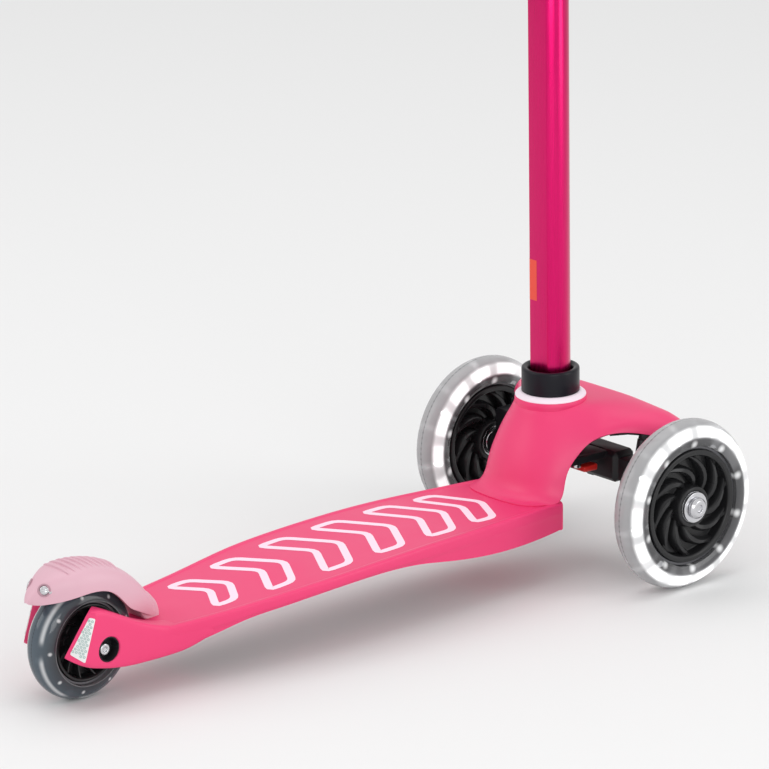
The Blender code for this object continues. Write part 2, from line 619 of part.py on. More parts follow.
def front_axle(label, hub):
    place = dict(turn=ALONG_X, parent=hub)
    ring(label + "_axle_washer", AXLE_R + GAP, 10.8 * MM, 12.3 * MM, 13.8 * MM, STEEL, MEDIUM, **place)
    profile = [(0, 18 * MM), (6 * MM, 18 * MM), (7.5 * MM, 16 * MM), (7.5 * MM, 14.1 * MM),
               (AXLE_R, 14.1 * MM), (AXLE_R, -24 * MM), (0, -24 * MM)]
    turned(label + "_axle_bolt", profile, STEEL, 18, **place)


def rear_axle():
    place = dict(turn=ALONG_X, at=(0, REAR_AXLE_Y, REAR_WHEEL_R))
    profile = [(0, 29.5 * MM), (5.6 * MM, 29.5 * MM), (6.4 * MM, 28 * MM), (6.4 * MM, 26 * MM),
               (AXLE_R, 26 * MM), (AXLE_R, -30.2 * MM), (0, -30.2 * MM)]
    turned("rear_axle_bolt", profile, STEEL, 18, **place)
    ring("rear_axle_nut", 5 * MM, 7.2 * MM, -29.6 * MM, -26 * MM, STEEL, 6, **place)


# The brake fender's crest: y, z, half width, drop of its sides.
FENDER = [(-278, 79, 7, 2), (-275.5, 84, 13, 7), (-267, 88, 18, 11), (-256, 90.5, 20, 13.5),
          (-243, 92.3, 20.5, 14.5), (-230, 92.8, 20.5, 15), (-218, 91, 20, 15), (-207, 86, 19.5, 14.5),
          (-197, 78.5, 18.5, 13), (-188, 69, 17.5, 10.5), (-180.5, 58, 16.2, 7), (-176.5, 49, 15.8, 4)]


def fender_sections(table, drop_share=1.0):
    """Sections square to the crest line, from the side edge up to the middle."""
    sections = []
    last = len(table) - 1
    for i, (y, z, half, drop) in enumerate(table):
        before = Vector(table[max(i - 1, 0)][:2])
        after = Vector(table[min(i + 1, last)][:2])
        run = (after - before).normalized()
        normal = Vector((-run.y, run.x))
        shape = [(1, 1), (1, 0.5), (0.86, 0.17), (0.5, 0.03), (0, 0)]
        section = []
        for across, down in shape:
            offset = normal * (-down * drop * drop_share)
            section.append((across * half * MM, (y + offset.x) * MM, (z + offset.y) * MM))
        sections.append(section)
    return sections


def brake():
    fender = sheet("brake_fender", fender_sections(FENDER), BLUSH, 2.6 * MM)
    web = [(-171, 42), (-171, 47), (-174, 57), (-180, 60), (-180.5, 56), (-177.5, 46), (-177, 42)]
    join(fender, prism("fender foot", [(y * MM, z * MM) for y, z in web], -15.5 * MM, 15.5 * MM))
    pivot = dict(turn=ALONG_X, at=(0, BRAKE_Y, BRAKE_Z))
    join(fender, rod("fender barrel", 4.6 * MM, -15.2 * MM, 15.2 * MM, steps=18, **pivot))
    cut(fender, rod("fender pin bore", 2.3 * MM, -30 * MM, 30 * MM, **pivot))
    cut(fender, box("spring space", (-5 * MM, -182 * MM, 34 * MM), (5 * MM, -168.5 * MM, 48 * MM)))
    rod("brake_pin", 2 * MM, -19.6 * MM, 19.6 * MM, STEEL, **pivot)
    coil("brake_spring", 3.4 * MM, 0.6 * MM, 7.4 * MM, 4, STEEL, turn=ALONG_X,
         at=(-3.7 * MM, BRAKE_Y, BRAKE_Z))

    pad = [(y, z - 4.2, 11, drop * 0.25) for y, z, half, drop in FENDER[2:8]]
    sheet("brake_pad", fender_sections(pad), STEEL, 1.2 * MM)
    for label, side in (("left", -1), ("right", 1)):
        where = (side * 18.4 * MM, -262 * MM, 79.5 * MM)
        hole = rod(label + " fender screw hole", 1.5 * MM, -6 * MM, 6 * MM, steps=10, turn=ALONG_X, at=where)
        cut(fender, hole)
        out = math.pi / 2 * side
        profile = [(0, 3.4 * MM), (1.8 * MM, 3.2 * MM), (2.8 * MM, 1.9 * MM), (1.2 * MM, 1.9 * MM),
                   (1.2 * MM, -3.4 * MM), (0, -3.4 * MM)]
        turned(label + "_fender_screw", profile, STEEL, 10, turn=(0, out, 0), at=where)


def weld_seams():
    """Close the hairline seams that a Boolean can leave."""
    for thing in PARTS.objects:
        if thing.type == "MESH" and any(step.type == "BOOLEAN" for step in thing.modifiers):
            weld = thing.modifiers.new("seams", "WELD")
            weld.merge_threshold = 0.00002


def build():
    stem = empty("stem axis", (0, STEM_Y, STEM_Z), (STEM_LEAN, 0, 0))
    kingpins = {}
    for side in (-1, 1):
        place = (side * KINGPIN_X, FRONT_AXLE_Y, KINGPIN_Z)
        kingpins[side] = empty("kingpin axis %d" % side, place, (-KINGPIN_TILT, 0, 0))
    bpy.context.view_layer.update()
    deck(stem)
    underside()
    reflectors()
    stem_parts(stem)
    clamp(stem)
    handlebar(stem)
    carrier(kingpins)
    latch()
    tie_rod()
    rear_axle()
    brake()
    for side, pivot in kingpins.items():
        label = "front_left" if side < 0 else "front_right"
        place = (side * TRACK / 2, FRONT_AXLE_Y, FRONT_WHEEL_R)
        hub = empty(label + " axle", place, (0, 0, 0 if side > 0 else math.pi))
        arch_liner(side, pivot)
        steering_arm(side, pivot)
        wheel(label, hub, FRONT_WHEEL_R, 42.6 * MM, 40 * MM, 35 * MM, 8 * MM, TYRE_STEPS)
        front_axle(label, hub)
    hub = empty("rear axle", (0, REAR_AXLE_Y, REAR_WHEEL_R))
    wheel("rear", hub, REAR_WHEEL_R, 28.7 * MM, 26.4 * MM, 23 * MM, 9 * MM, 24)


for old in list(bpy.data.objects):
    bpy.data.objects.remove(old)
PARTS = new_collection("kick scooter")
CUTTERS = new_collection("cutters")
PINK = paint("pink plastic", (0.80, 0.07, 0.20), 0.45)
BLUSH = paint("blush plastic", (0.75, 0.50, 0.58), 0.45)
PALE = paint("pale ring", (0.80, 0.72, 0.78), 0.4)
BLACK = paint("black plastic", (0.02, 0.02, 0.025), 0.5)
MAGENTA = paint("magenta anodised", (0.62, 0.005, 0.14), 0.25, 1.0)
SILVER = paint("silver anodised", (0.75, 0.75, 0.77), 0.3, 1.0)
STEEL = paint("steel", (0.65, 0.65, 0.67), 0.25, 1.0)
RUBBER = paint("grip rubber", (0.03, 0.03, 0.035), 0.7)
RED = paint("red plastic", (0.55, 0.02, 0.02), 0.4)
WHITE = paint("white reflector", (0.85, 0.85, 0.85), 0.3)
CLEAR = paint("clear tyre", (0.85, 0.87, 0.90), 0.1, 0.0, 0.4)
LAMP = paint("light ring", (0.90, 0.92, 0.95), 0.3)
build()
weld_seams()
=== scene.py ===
# Looks for the three-wheeled kick scooter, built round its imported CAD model.
import json
import math

import bmesh
import bpy
from mathutils import Matrix, Vector
from mathutils.bvhtree import BVHTree

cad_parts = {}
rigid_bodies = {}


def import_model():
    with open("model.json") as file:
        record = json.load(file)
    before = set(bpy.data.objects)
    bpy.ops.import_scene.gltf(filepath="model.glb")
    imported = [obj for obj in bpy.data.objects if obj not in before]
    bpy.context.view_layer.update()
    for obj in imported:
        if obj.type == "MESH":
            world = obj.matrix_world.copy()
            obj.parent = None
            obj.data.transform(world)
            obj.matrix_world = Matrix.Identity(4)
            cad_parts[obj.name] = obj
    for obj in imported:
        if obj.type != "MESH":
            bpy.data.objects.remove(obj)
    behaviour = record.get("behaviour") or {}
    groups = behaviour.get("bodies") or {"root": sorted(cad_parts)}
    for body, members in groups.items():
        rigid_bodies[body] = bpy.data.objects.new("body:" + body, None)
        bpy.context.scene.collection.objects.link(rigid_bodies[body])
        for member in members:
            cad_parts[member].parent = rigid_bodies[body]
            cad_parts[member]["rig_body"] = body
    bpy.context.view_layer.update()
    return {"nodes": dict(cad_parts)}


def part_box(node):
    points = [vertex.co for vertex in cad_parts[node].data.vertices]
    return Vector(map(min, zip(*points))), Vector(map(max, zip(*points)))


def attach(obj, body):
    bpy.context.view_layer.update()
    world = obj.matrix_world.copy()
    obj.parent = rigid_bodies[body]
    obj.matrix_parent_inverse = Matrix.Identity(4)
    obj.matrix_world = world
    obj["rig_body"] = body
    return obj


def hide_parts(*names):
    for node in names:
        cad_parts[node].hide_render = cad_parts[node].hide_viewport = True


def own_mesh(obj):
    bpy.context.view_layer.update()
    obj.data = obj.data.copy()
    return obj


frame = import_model()
mm = 0.001
nodes = frame["nodes"]
scene = bpy.context.scene
print("frame loaded:", len(nodes), "nodes")


# shader helpers: a value given for an input may be a plain value or another node's output

def addNode(tree, kind, settings=None, **values):
    made = tree.nodes.new("ShaderNode" + kind)
    for key, value in (settings or {}).items():
        setattr(made, key, value)
    for key, value in values.items():
        plug(tree, value, made.inputs[key.replace("_", " ")])
    return made


def plug(tree, value, socket):
    if isinstance(value, bpy.types.NodeSocket):
        tree.links.new(value, socket)
    else:
        socket.default_value = value


def mathNode(tree, operation, first, second=0.0, third=0.0):
    made = tree.nodes.new("ShaderNodeMath")
    made.operation = operation
    for socket, value in zip(made.inputs, (first, second, third)):
        plug(tree, value, socket)
    return made.outputs[0]


def mixColours(tree, share, first, second):
    made = tree.nodes.new("ShaderNodeMix")
    made.data_type = "RGBA"
    plug(tree, share, made.inputs[0])
    plug(tree, first, made.inputs[6])
    plug(tree, second, made.inputs[7])
    return made.outputs[2]


def rampRange(tree, value, low, high, toLow, toHigh, kind="SMOOTHSTEP"):
    return addNode(tree, "MapRange", {"interpolation_type": kind}, Value=value, From_Min=low, From_Max=high,
                   To_Min=toLow, To_Max=toHigh).outputs[0]


def newGroup(name, inputs, outputs):
    group = bpy.data.node_groups.new(name, "ShaderNodeTree")
    for label, kind, value in inputs:
        socket = group.interface.new_socket(label, in_out="INPUT", socket_type=kind)
        if value is not None:
            socket.default_value = value
    for label, kind in outputs:
        group.interface.new_socket(label, in_out="OUTPUT", socket_type=kind)
    return group, group.nodes.new("NodeGroupInput"), group.nodes.new("NodeGroupOutput")


def makeGrain():
    # moulded grain: fine pebble height, and a slow tone that drifts over the part
    group, given, out = newGroup(
        "mouldedGrain",
        [("Vector", "NodeSocketVector", None), ("Pebble", "NodeSocketFloat", 900.0),
         ("Drift", "NodeSocketFloat", 14.0)],
        [("Height", "NodeSocketFloat"), ("Tone", "NodeSocketFloat")])
    pebble = addNode(group, "TexNoise", Vector=given.outputs[0], Scale=given.outputs[1], Detail=2.0)
    drift = addNode(group, "TexNoise", Vector=given.outputs[0], Scale=given.outputs[2], Detail=4.0)
    group.links.new(pebble.outputs[0], out.inputs[0])
    group.links.new(drift.outputs[0], out.inputs[1])
    return group


def makeScuffs():
    # hairline scratches that run one way, strongest where the drift is high
    group, given, out = newGroup(
        "hairScuffs",
        [("Vector", "NodeSocketVector", None), ("Length", "NodeSocketFloat", 60.0),
         ("Amount", "NodeSocketFloat", 0.5)],
        [("Mask", "NodeSocketFloat")])
    stretched = addNode(group, "Mapping", Vector=given.outputs[0], Scale=(1.0, 0.06, 1.0))
    lines = addNode(group, "TexNoise", Vector=stretched.outputs[0], Scale=2400.0, Detail=1.0)
    patches = addNode(group, "TexNoise", Vector=given.outputs[0], Scale=given.outputs[1], Detail=2.0)
    both = mathNode(group, "MULTIPLY", rampRange(group, lines.outputs[0], 0.6, 0.75, 0.0, 1.0),
                    rampRange(group, patches.outputs[0], 0.5, 0.7, 0.0, 1.0))
    group.links.new(mathNode(group, "MULTIPLY", both, given.outputs[2]), out.inputs[0])
    return group


grain = makeGrain()
scuffs = makeScuffs()


def startMaterial(name):
    made = bpy.data.materials.new(name)
    made.use_nodes = True
    tree = made.node_tree
    where = tree.nodes.new("ShaderNodeTexCoord").outputs["Object"]
    return made, tree, tree.nodes["Principled BSDF"], where


def setSockets(tree, shader, **values):
    for key, value in values.items():
        plug(tree, value, shader.inputs[key.replace("_", " ")])


def groupNode(tree, group, where, **values):
    made = tree.nodes.new("ShaderNodeGroup")
    made.node_tree = group
    setSockets(tree, made, Vector=where, **values)
    return made


def makeMaterial(name, colour, rough, metal=0.0, pebble=900.0, drift=14.0, bump=0.15, height=0.00004,
                 tone=0.10, worn=0.0, **sockets):
    # tone is how far the colour drifts, worn how strong the hairline scuffs are
    made, tree, shader, where = startMaterial(name)
    surface = groupNode(tree, grain, where, Pebble=pebble, Drift=drift)
    darker = tuple(c * (1 - tone) for c in colour) + (1.0,)
    lighter = tuple(min(1.0, c * (1 + tone)) for c in colour) + (1.0,)
    shade = mixColours(tree, surface.outputs["Tone"], darker, lighter)
    roughness = rampRange(tree, surface.outputs["Tone"], 0.3, 0.7, rough - 0.05, rough + 0.05)
    if worn:
        lines = groupNode(tree, scuffs, where, Amount=worn)
        shade = mixColours(tree, lines.outputs[0], shade, lighter)
        roughness = mathNode(tree, "ADD", roughness, mathNode(tree, "MULTIPLY", lines.outputs[0], 0.2))
    bumped = addNode(tree, "Bump", Strength=bump, Distance=height, Height=surface.outputs["Height"])
    setSockets(tree, shader, Base_Color=shade, Roughness=roughness, Metallic=metal, Normal=bumped.outputs[0], **sockets)
    return made


finishes = {
    "pink": dict(colour=(0.78, 0.034, 0.158), rough=0.40, bump=0.12, tone=0.04, worn=0.15, Specular_IOR_Level=0.5),
    "blush": dict(colour=(0.67, 0.40, 0.475), rough=0.42, tone=0.04),
    "pale": dict(colour=(0.86, 0.74, 0.82), rough=0.38, tone=0.03),
    "print": dict(colour=(0.95, 0.70, 0.82), rough=0.5, tone=0.03),
    "black": dict(colour=(0.009, 0.009, 0.011), rough=0.42, tone=0.2, Specular_IOR_Level=0.35),
    "core": dict(colour=(0.012, 0.012, 0.013), rough=0.26, tone=0.2, Specular_IOR_Level=0.35),
    "collar": dict(colour=(0.006, 0.006, 0.010), rough=0.32, tone=0.15, Specular_IOR_Level=0.22),
    "liner": dict(colour=(0.008, 0.008, 0.009), rough=0.55, tone=0.2, Specular_IOR_Level=0.3),
    "silver": dict(colour=(0.72, 0.72, 0.74), rough=0.24, metal=1.0, tone=0.05, worn=0.3),
    "steel": dict(colour=(0.62, 0.62, 0.64), rough=0.22, metal=1.0, tone=0.08, worn=0.4),
    "rubber": dict(colour=(0.022, 0.022, 0.024), rough=0.62, pebble=1500.0, bump=0.35, tone=0.25),
    # seat: the fender's colour darkened, painted shade round the screw heads
    "seat": dict(colour=(0.42, 0.24, 0.29), rough=0.5, tone=0.04),
    "red": dict(colour=(0.62, 0.02, 0.015), rough=0.36, tone=0.06),
    "label": dict(colour=(0.78, 0.06, 0.03), rough=0.35, tone=0.03),
    "white": dict(colour=(0.76, 0.78, 0.77), rough=0.25, tone=0.03),
    "cell": dict(colour=(0.40, 0.52, 0.50), rough=0.15, tone=0.12, drift=400.0),
    "smoke": dict(colour=(0.10, 0.10, 0.11), rough=0.18, tone=0.1),
}
finish = {name: makeMaterial(name + "Finish", **values) for name, values in finishes.items()}


def makeAnodised():
    # anodised aluminium: fine drawing lines along the tube and slow colour drift
    made, tree, shader, where = startMaterial("magentaFinish")
    drawn = addNode(tree, "Mapping", Vector=where, Scale=(1.0, 1.0, 0.012))
    lines = addNode(tree, "TexNoise", Vector=drawn.outputs[0], Scale=2600.0, Detail=2.0).outputs[0]
    bumped = addNode(tree, "Bump", Strength=0.06, Distance=0.00003, Height=lines)
    setSockets(tree, shader, Base_Color=mixColours(tree, lines, (0.58, 0.0008, 0.105, 1.0), (0.74, 0.0016, 0.15, 1.0)),
               Roughness=rampRange(tree, lines, 0.3, 0.7, 0.27, 0.36), Metallic=1.0, Coat_Weight=0.35,
               Coat_Roughness=0.16, Normal=bumped.outputs[0])
    return made


finish["magenta"] = makeAnodised()


def vectorMath(tree, operation, *values):
    made = addNode(tree, "VectorMath", {"operation": operation})
    for value, socket in zip(values, made.inputs):
        plug(tree, value, socket)
    return made


def radiusFrom(tree, where, centre):
    # distance from an axle that lies along X
    moved = vectorMath(tree, "SUBTRACT", where, centre)
    flat = vectorMath(tree, "MULTIPLY", moved.outputs[0], (0.0, 1.0, 1.0))
    return vectorMath(tree, "LENGTH", flat.outputs[0]).outputs["Value"]


def turnFrom(tree, where, centre):
    # angle round an axle that lies along X
    parts = addNode(tree, "SeparateXYZ", Vector=where)
    flatY = mathNode(tree, "SUBTRACT", parts.outputs[1], centre[1])
    flatZ = mathNode(tree, "SUBTRACT", parts.outputs[2], centre[2])
    return mathNode(tree, "ARCTAN2", flatZ, flatY)


frontAxle = (0.0, 0.218, 0.060)
rearAxle = (0.0, -0.234, 0.040)
tyreLook = {
    # zones: radius and colour; band: a ring of painted glow, dimmed to low between its segments, power its strength;
    # lamps: count, radius, size and strength of soft painted glow spots at the lamps
    "front": dict(
        centre=frontAxle, band=(0.0482, 0.0575), segments=14.0, low=0.45, power=0.62, clear=0.36,
        zones=[(0.040, (0.05, 0.05, 0.052)), (0.0475, (0.10, 0.10, 0.105)), (0.050, (0.34, 0.34, 0.35)),
               (0.0565, (0.40, 0.40, 0.41)), (0.0585, (0.22, 0.22, 0.23)), (0.060, (0.55, 0.55, 0.56))],
        lamps=(10, 0.0448, 0.0040, 0.5)),
    "rear": dict(
        centre=rearAxle, band=(0.0362, 0.0392), segments=5.0, low=0.0, power=0.10, clear=0.25,
        zones=[(0.027, (0.10, 0.105, 0.115)), (0.0285, (0.28, 0.29, 0.30)), (0.0295, (0.05, 0.055, 0.062)),
               (0.034, (0.055, 0.06, 0.07)), (0.0385, (0.04, 0.05, 0.065)), (0.040, (0.10, 0.13, 0.16))],
        lamps=(9, 0.0330, 0.0019, 0.7)),
    "glowBandFade": 0.0022,
}


def makeTyre(kind):
    # clear cast tyre: coloured by radius, with painted glow in a band broken into segments and in a ring of soft spots
    # at the lamps
    look = tyreLook[kind]
    made, tree, shader, where = startMaterial(kind + "TyreFinish")
    radius = radiusFrom(tree, where, look["centre"])
    turn = turnFrom(tree, where, look["centre"])
    zones = look["zones"]
    low, high = zones[0][0], zones[-1][0]
    ramp = addNode(tree, "ValToRGB", Fac=rampRange(tree, radius, low, high, 0.0, 1.0, "LINEAR"))
    stops = ramp.color_ramp.elements
    for i, (at, colour) in enumerate(zones):
        stop = stops[i] if i < len(stops) and i < 2 else stops.new(0.5)
        stop.position = (at - low) / (high - low)
        stop.color = colour + (1.0,)
    patches = addNode(tree, "TexNoise", Vector=where, Scale=44.0, Detail=1.5).outputs[0]
    # soft spots of painted glow at the lamps
    count, ring, size, strength = look["lamps"]
    share = mathNode(tree, "FRACT", mathNode(tree, "MULTIPLY", turn, count / math.tau))
    arc = mathNode(tree, "MULTIPLY", mathNode(tree, "SUBTRACT", share, 0.5), math.tau * ring / count)
    away = mathNode(tree, "SUBTRACT", radius, ring)
    apart = mathNode(tree, "SQRT", mathNode(tree, "ADD", mathNode(tree, "MULTIPLY", arc, arc),
                                            mathNode(tree, "MULTIPLY", away, away)))
    spots = mathNode(tree, "MULTIPLY", rampRange(tree, apart, size * 0.1, size, 1.0, 0.0), strength)
    # a band of painted glow, broken into segments
    start, end = look["band"]
    fade = tyreLook["glowBandFade"]
    glowBandMask = mathNode(tree, "MULTIPLY", rampRange(tree, radius, start, start + fade, 0.0, 1.0),
                      rampRange(tree, radius, end - fade, end, 1.0, 0.0))
    wave = mathNode(tree, "SINE", mathNode(tree, "MULTIPLY_ADD", turn, look["segments"],
                                           mathNode(tree, "MULTIPLY", patches, 3.0)))
    paintedBand = mathNode(tree, "MULTIPLY", glowBandMask, rampRange(tree, wave, -1.0, -0.1, look["low"], 1.0))
    paintedGlow = mathNode(tree, "MAXIMUM", paintedBand, spots)
    # the painted glow lightens the base colour and sets the emission
    setSockets(tree, shader, Base_Color=mixColours(tree, paintedGlow, ramp.outputs[0], (0.92, 0.93, 0.94, 1.0)),
               Emission_Color=mixColours(tree, paintedGlow, (0.0, 0.0, 0.0, 1.0), (1.0, 1.0, 1.0, 1.0)),
               Emission_Strength=look["power"], Transmission_Weight=look["clear"], IOR=1.42,
               Roughness=rampRange(tree, patches, 0.3, 0.7, 0.06, 0.12))
    return made


def makeLamp(name, colour, strength):
    made, tree, shader, where = startMaterial(name)
    haze = addNode(tree, "TexNoise", Vector=where, Scale=240.0, Detail=1.0).outputs[0]
    setSockets(tree, shader, Emission_Color=mixColours(tree, haze, (0.86, 0.88, 0.9, 1.0), colour),
               Base_Color=mixColours(tree, haze, (0.7, 0.72, 0.74, 1.0), colour), Emission_Strength=strength)
    return made


for kind in ("front", "rear"):
    finish[kind + "Tyre"] = makeTyre(kind)
finish["lamp"] = makeLamp("lampFinish", (1.0, 1.0, 1.0, 1.0), 2.5)
finish["dimLamp"] = makeLamp("dimLampFinish", (0.8, 0.88, 0.95, 1.0), 0.25)

print("finishes made")


# mesh helpers; points are given in millimetres

def linked(name, data):
    thing = bpy.data.objects.new(name, data)
    scene.collection.objects.link(thing)
    return thing


def meshFrom(name, bm, material):
    bmesh.ops.remove_doubles(bm, verts=bm.verts, dist=0.000002)
    bmesh.ops.recalc_face_normals(bm, faces=bm.faces)
    data = bpy.data.meshes.new(name)
    bm.to_mesh(data)
    bm.free()
    data.materials.append(material)
    return linked(name, data)


def addGrid(bm, rows, ringed=False, looped=False, at=None, capped=False):
    # quads between rows of points; ringed closes each row, looped joins last row to first, capped fills both ends
    lines = []
    for row in rows:
        points = [Vector(point) * mm for point in row]
        lines.append([bm.verts.new(at @ point if at else point) for point in points])
    pairs = list(zip(lines, lines[1:]))
    if looped:
        pairs.append((lines[-1], lines[0]))
    for line, after in pairs:
        count = len(line)
        for i in range(count if ringed else count - 1):
            j = (i + 1) % count
            bm.faces.new((line[i], line[j], after[j], after[i]))
    if capped:
        bm.faces.new(lines[0])
        bm.faces.new(list(reversed(lines[-1])))


def addStep(thing, kind, **settings):
    step = thing.modifiers.new(kind.lower(), kind)
    for key, value in settings.items():
        setattr(step, key, value)
    return step


def smoothed(thing, levels):
    addStep(thing, "SUBSURF", levels=levels, render_levels=levels)


def thickened(thing, thickness, offset=-1.0):
    addStep(thing, "SOLIDIFY", thickness=thickness * mm, offset=offset, use_even_offset=True)


def shelled(thing, levels, wall, offset=-1.0):
    # half a skin becomes a whole, smooth wall
    addStep(thing, "MIRROR", merge_threshold=0.00005, use_clip=True)
    smoothed(thing, levels)
    thickened(thing, wall, offset)


def edged(thing, width, segments=2, angle=35):
    addStep(thing, "BEVEL", width=width * mm, segments=segments, limit_method="ANGLE",
            angle_limit=math.radians(angle))


def evaluated(thing, sharp):
    # the mesh that live modifiers give, smooth except at real corners
    bpy.context.view_layer.update()
    seen = bpy.context.evaluated_depsgraph_get()
    data = bpy.data.meshes.new_from_object(thing.evaluated_get(seen))
    for face in data.polygons:
        face.use_smooth = True
    data.set_sharp_from_angle(angle=math.radians(sharp))
    return data


def baked(thing, sharp=38):
    data = evaluated(thing, sharp)
    thing.modifiers.clear()
    thing.data = data
    return thing


def place(thing, body, *replaced):
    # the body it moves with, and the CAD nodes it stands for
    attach(thing, body)
    if replaced:
        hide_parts(*replaced)
    return thing


def sideName(side):
    return "left" if side < 0 else "right"


def softened(profile, radius, closed=True, steps=3):
    # rounds each corner of a 2-D outline
    made = []
    count = len(profile)
    for i, point in enumerate(profile):
        here = Vector(point)
        if not closed and i in (0, count - 1):
            made.append(tuple(here))
            continue
        before = Vector(profile[i - 1]) - here
        after = Vector(profile[(i + 1) % count]) - here
        reach = min(radius, before.length * 0.45, after.length * 0.45)
        start = here + before.normalized() * reach
        end = here + after.normalized() * reach
        for k in range(steps + 1):
            t = k / steps
            made.append(tuple(start * (1 - t) ** 2 + here * 2 * t * (1 - t) + end * t * t))
    return made


alongX = Matrix.Rotation(math.pi / 2, 4, "Y")
alongMinusX = Matrix.Rotation(-math.pi / 2, 4, "Y")


def outward(side):
    return alongX if side > 0 else alongMinusX


def around(radius, steps):
    # evenly spread points of a circle
    return [(radius * math.cos(math.tau * i / steps), radius * math.sin(math.tau * i / steps)) for i in range(steps)]


def spun(name, profile, material, at=None, steps=48, radius=0.0, closed=True):
    # a turned shape from (radius, height) points round local z; radius softens its corners
    outline = softened(profile, radius, closed) if radius else profile
    bm = bmesh.new()
    rows = [[(r * x, r * y, h) for r, h in outline] for x, y in around(1, steps)]
    if closed:
        rows = [row + [row[0]] for row in rows]
    addGrid(bm, rows, looped=True, at=at)
    return meshFrom(name, bm, material)


def extruded(name, outline, low, high, material):
    # a flat outline given as (y, z), drawn out from low to high along x
    bm = bmesh.new()
    addGrid(bm, [[(x, y, z) for y, z in outline] for x in (low, high)], ringed=True, capped=True)
    return meshFrom(name, bm, material)


def block(name, matrix, size=1.0):
    # a cutting block; it is discarded after its cut
    bm = bmesh.new()
    bmesh.ops.create_cube(bm, size=size)
    bmesh.ops.transform(bm, matrix=matrix, verts=bm.verts)
    return meshFrom(name, bm, finish["steel"])


def cutBy(thing, tools):
    for tool in tools:
        addStep(thing, "BOOLEAN", object=tool, operation="DIFFERENCE", solver="EXACT")


def refined(node, colour, width=0.3, segments=2):
    # a CAD node's own shape with its edges rounded; the piece takes the node's name
    first, *others = node.split("_")
    name = first + "".join(word.capitalize() for word in others)
    bm = bmesh.new()
    bm.from_mesh(nodes[node].data)
    bmesh.ops.remove_doubles(bm, verts=bm.verts, dist=0.00001)
    bmesh.ops.dissolve_limit(bm, angle_limit=math.radians(1.5), verts=bm.verts, edges=bm.edges)
    data = bpy.data.meshes.new(name)
    bm.to_mesh(data)
    bm.free()
    data.materials.clear()
    data.materials.append(finish[colour])
    thing = linked(name, data)
    edged(thing, width, segments, 32)
    return place(baked(thing, 40), nodes[node]["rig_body"], node)


# repeats, as Geometry Nodes

def join(tree, *pairs):
    for start, end in pairs:
        tree.links.new(start, end)


def repeatTree(name, extra):
    tree = bpy.data.node_groups.new(name, "GeometryNodeTree")
    tree.interface.new_socket("Geometry", in_out="OUTPUT", socket_type="NodeSocketGeometry")
    tree.interface.new_socket("Geometry", in_out="INPUT", socket_type="NodeSocketGeometry")
    for label, kind in [("Source", "NodeSocketObject"), ("Finish", "NodeSocketMaterial")] + extra:
        tree.interface.new_socket(label, in_out="INPUT", socket_type=kind)
    given = tree.nodes.new("NodeGroupInput")
    out = tree.nodes.new("NodeGroupOutput")
    info = tree.nodes.new("GeometryNodeObjectInfo")
    onPoints = tree.nodes.new("GeometryNodeInstanceOnPoints")
    real = tree.nodes.new("GeometryNodeRealizeInstances")
    paint = tree.nodes.new("GeometryNodeSetMaterial")
    join(tree, (given.outputs["Source"], info.inputs["Object"]),
         (info.outputs["Geometry"], onPoints.inputs["Instance"]),
         (onPoints.outputs["Instances"], real.inputs["Geometry"]),
         (real.outputs["Geometry"], paint.inputs["Geometry"]), (given.outputs["Finish"], paint.inputs["Material"]))
    return tree, given, out, onPoints, paint


def makeAroundTree():
    # copies of a source turned round an axle along X, then moved to the wheel's centre
    tree, given, out, onPoints, paint = repeatTree(
        "aroundAxle", [("Count", "NodeSocketInt"), ("Centre", "NodeSocketVector"), ("Start", "NodeSocketFloat")])
    points = tree.nodes.new("GeometryNodePoints")
    index = tree.nodes.new("GeometryNodeInputIndex")
    angle = tree.nodes.new("ShaderNodeCombineXYZ")
    move = tree.nodes.new("GeometryNodeTransform")
    share = mathNode(tree, "DIVIDE", index.outputs[0], given.outputs["Count"])
    turn = mathNode(tree, "MULTIPLY_ADD", share, math.tau, given.outputs["Start"])
    join(tree, (given.outputs["Count"], points.inputs["Count"]), (turn, angle.inputs[0]),
         (points.outputs[0], onPoints.inputs["Points"]), (angle.outputs[0], onPoints.inputs["Rotation"]),
         (paint.outputs[0], move.inputs["Geometry"]), (given.outputs["Centre"], move.inputs["Translation"]),
         (move.outputs[0], out.inputs[0]))
    return tree


def makeAlongTree():
    # copies of a source laid square across a curve
    tree, given, out, onPoints, paint = repeatTree("alongPath", [("Count", "NodeSocketInt")])
    toPoints = tree.nodes.new("GeometryNodeCurveToPoints")
    align = tree.nodes.new("FunctionNodeAlignRotationToVector")
    align.axis = "Y"
    align.pivot_axis = "X"
    join(tree, (given.outputs["Geometry"], toPoints.inputs["Curve"]),
         (given.outputs["Count"], toPoints.inputs["Count"]),
         (toPoints.outputs["Tangent"], align.inputs["Vector"]), (toPoints.outputs["Points"], onPoints.inputs["Points"]),
         (align.outputs[0], onPoints.inputs["Rotation"]), (paint.outputs[0], out.inputs[0]))
    return tree


def makeCellTree():
    # one copy of a source at each point
    tree, given, out, onPoints, paint = repeatTree("cellsOnPoints", [])
    join(tree, (given.outputs["Geometry"], onPoints.inputs["Points"]), (paint.outputs[0], out.inputs[0]))
    return tree


aroundTree = makeAroundTree()
alongTree = makeAlongTree()
cellTree = makeCellTree()


def discard(*things):
    for thing in things:
        bpy.data.objects.remove(thing)


def repeated(name, tree, source, material, base=None, **values):
    # runs a repeat tree, keeps its result as a plain mesh object, and discards the source
    thing = base or linked(name, bpy.data.meshes.new(name))
    step = thing.modifiers.new("repeat", "NODES")
    step.node_group = tree
    sockets = {s.name: s.identifier for s in tree.interface.items_tree if s.in_out == "INPUT"}
    for key, value in dict(values, Source=source, Finish=material).items():
        step[sockets[key]] = value
    data = evaluated(thing, 38)
    discard(thing, source)
    return linked(name, data)


def pathThrough(name, points):
    # a curve of straight lengths through points given in metres
    path = bpy.data.curves.new(name, "CURVE")
    path.dimensions = "3D"
    spline = path.splines.new("POLY")
    spline.points.add(len(points) - 1)
    for point, spot in zip(spline.points, points):
        point.co = (*spot, 1)
    return linked(name, path)


# deck, neck and fork arms

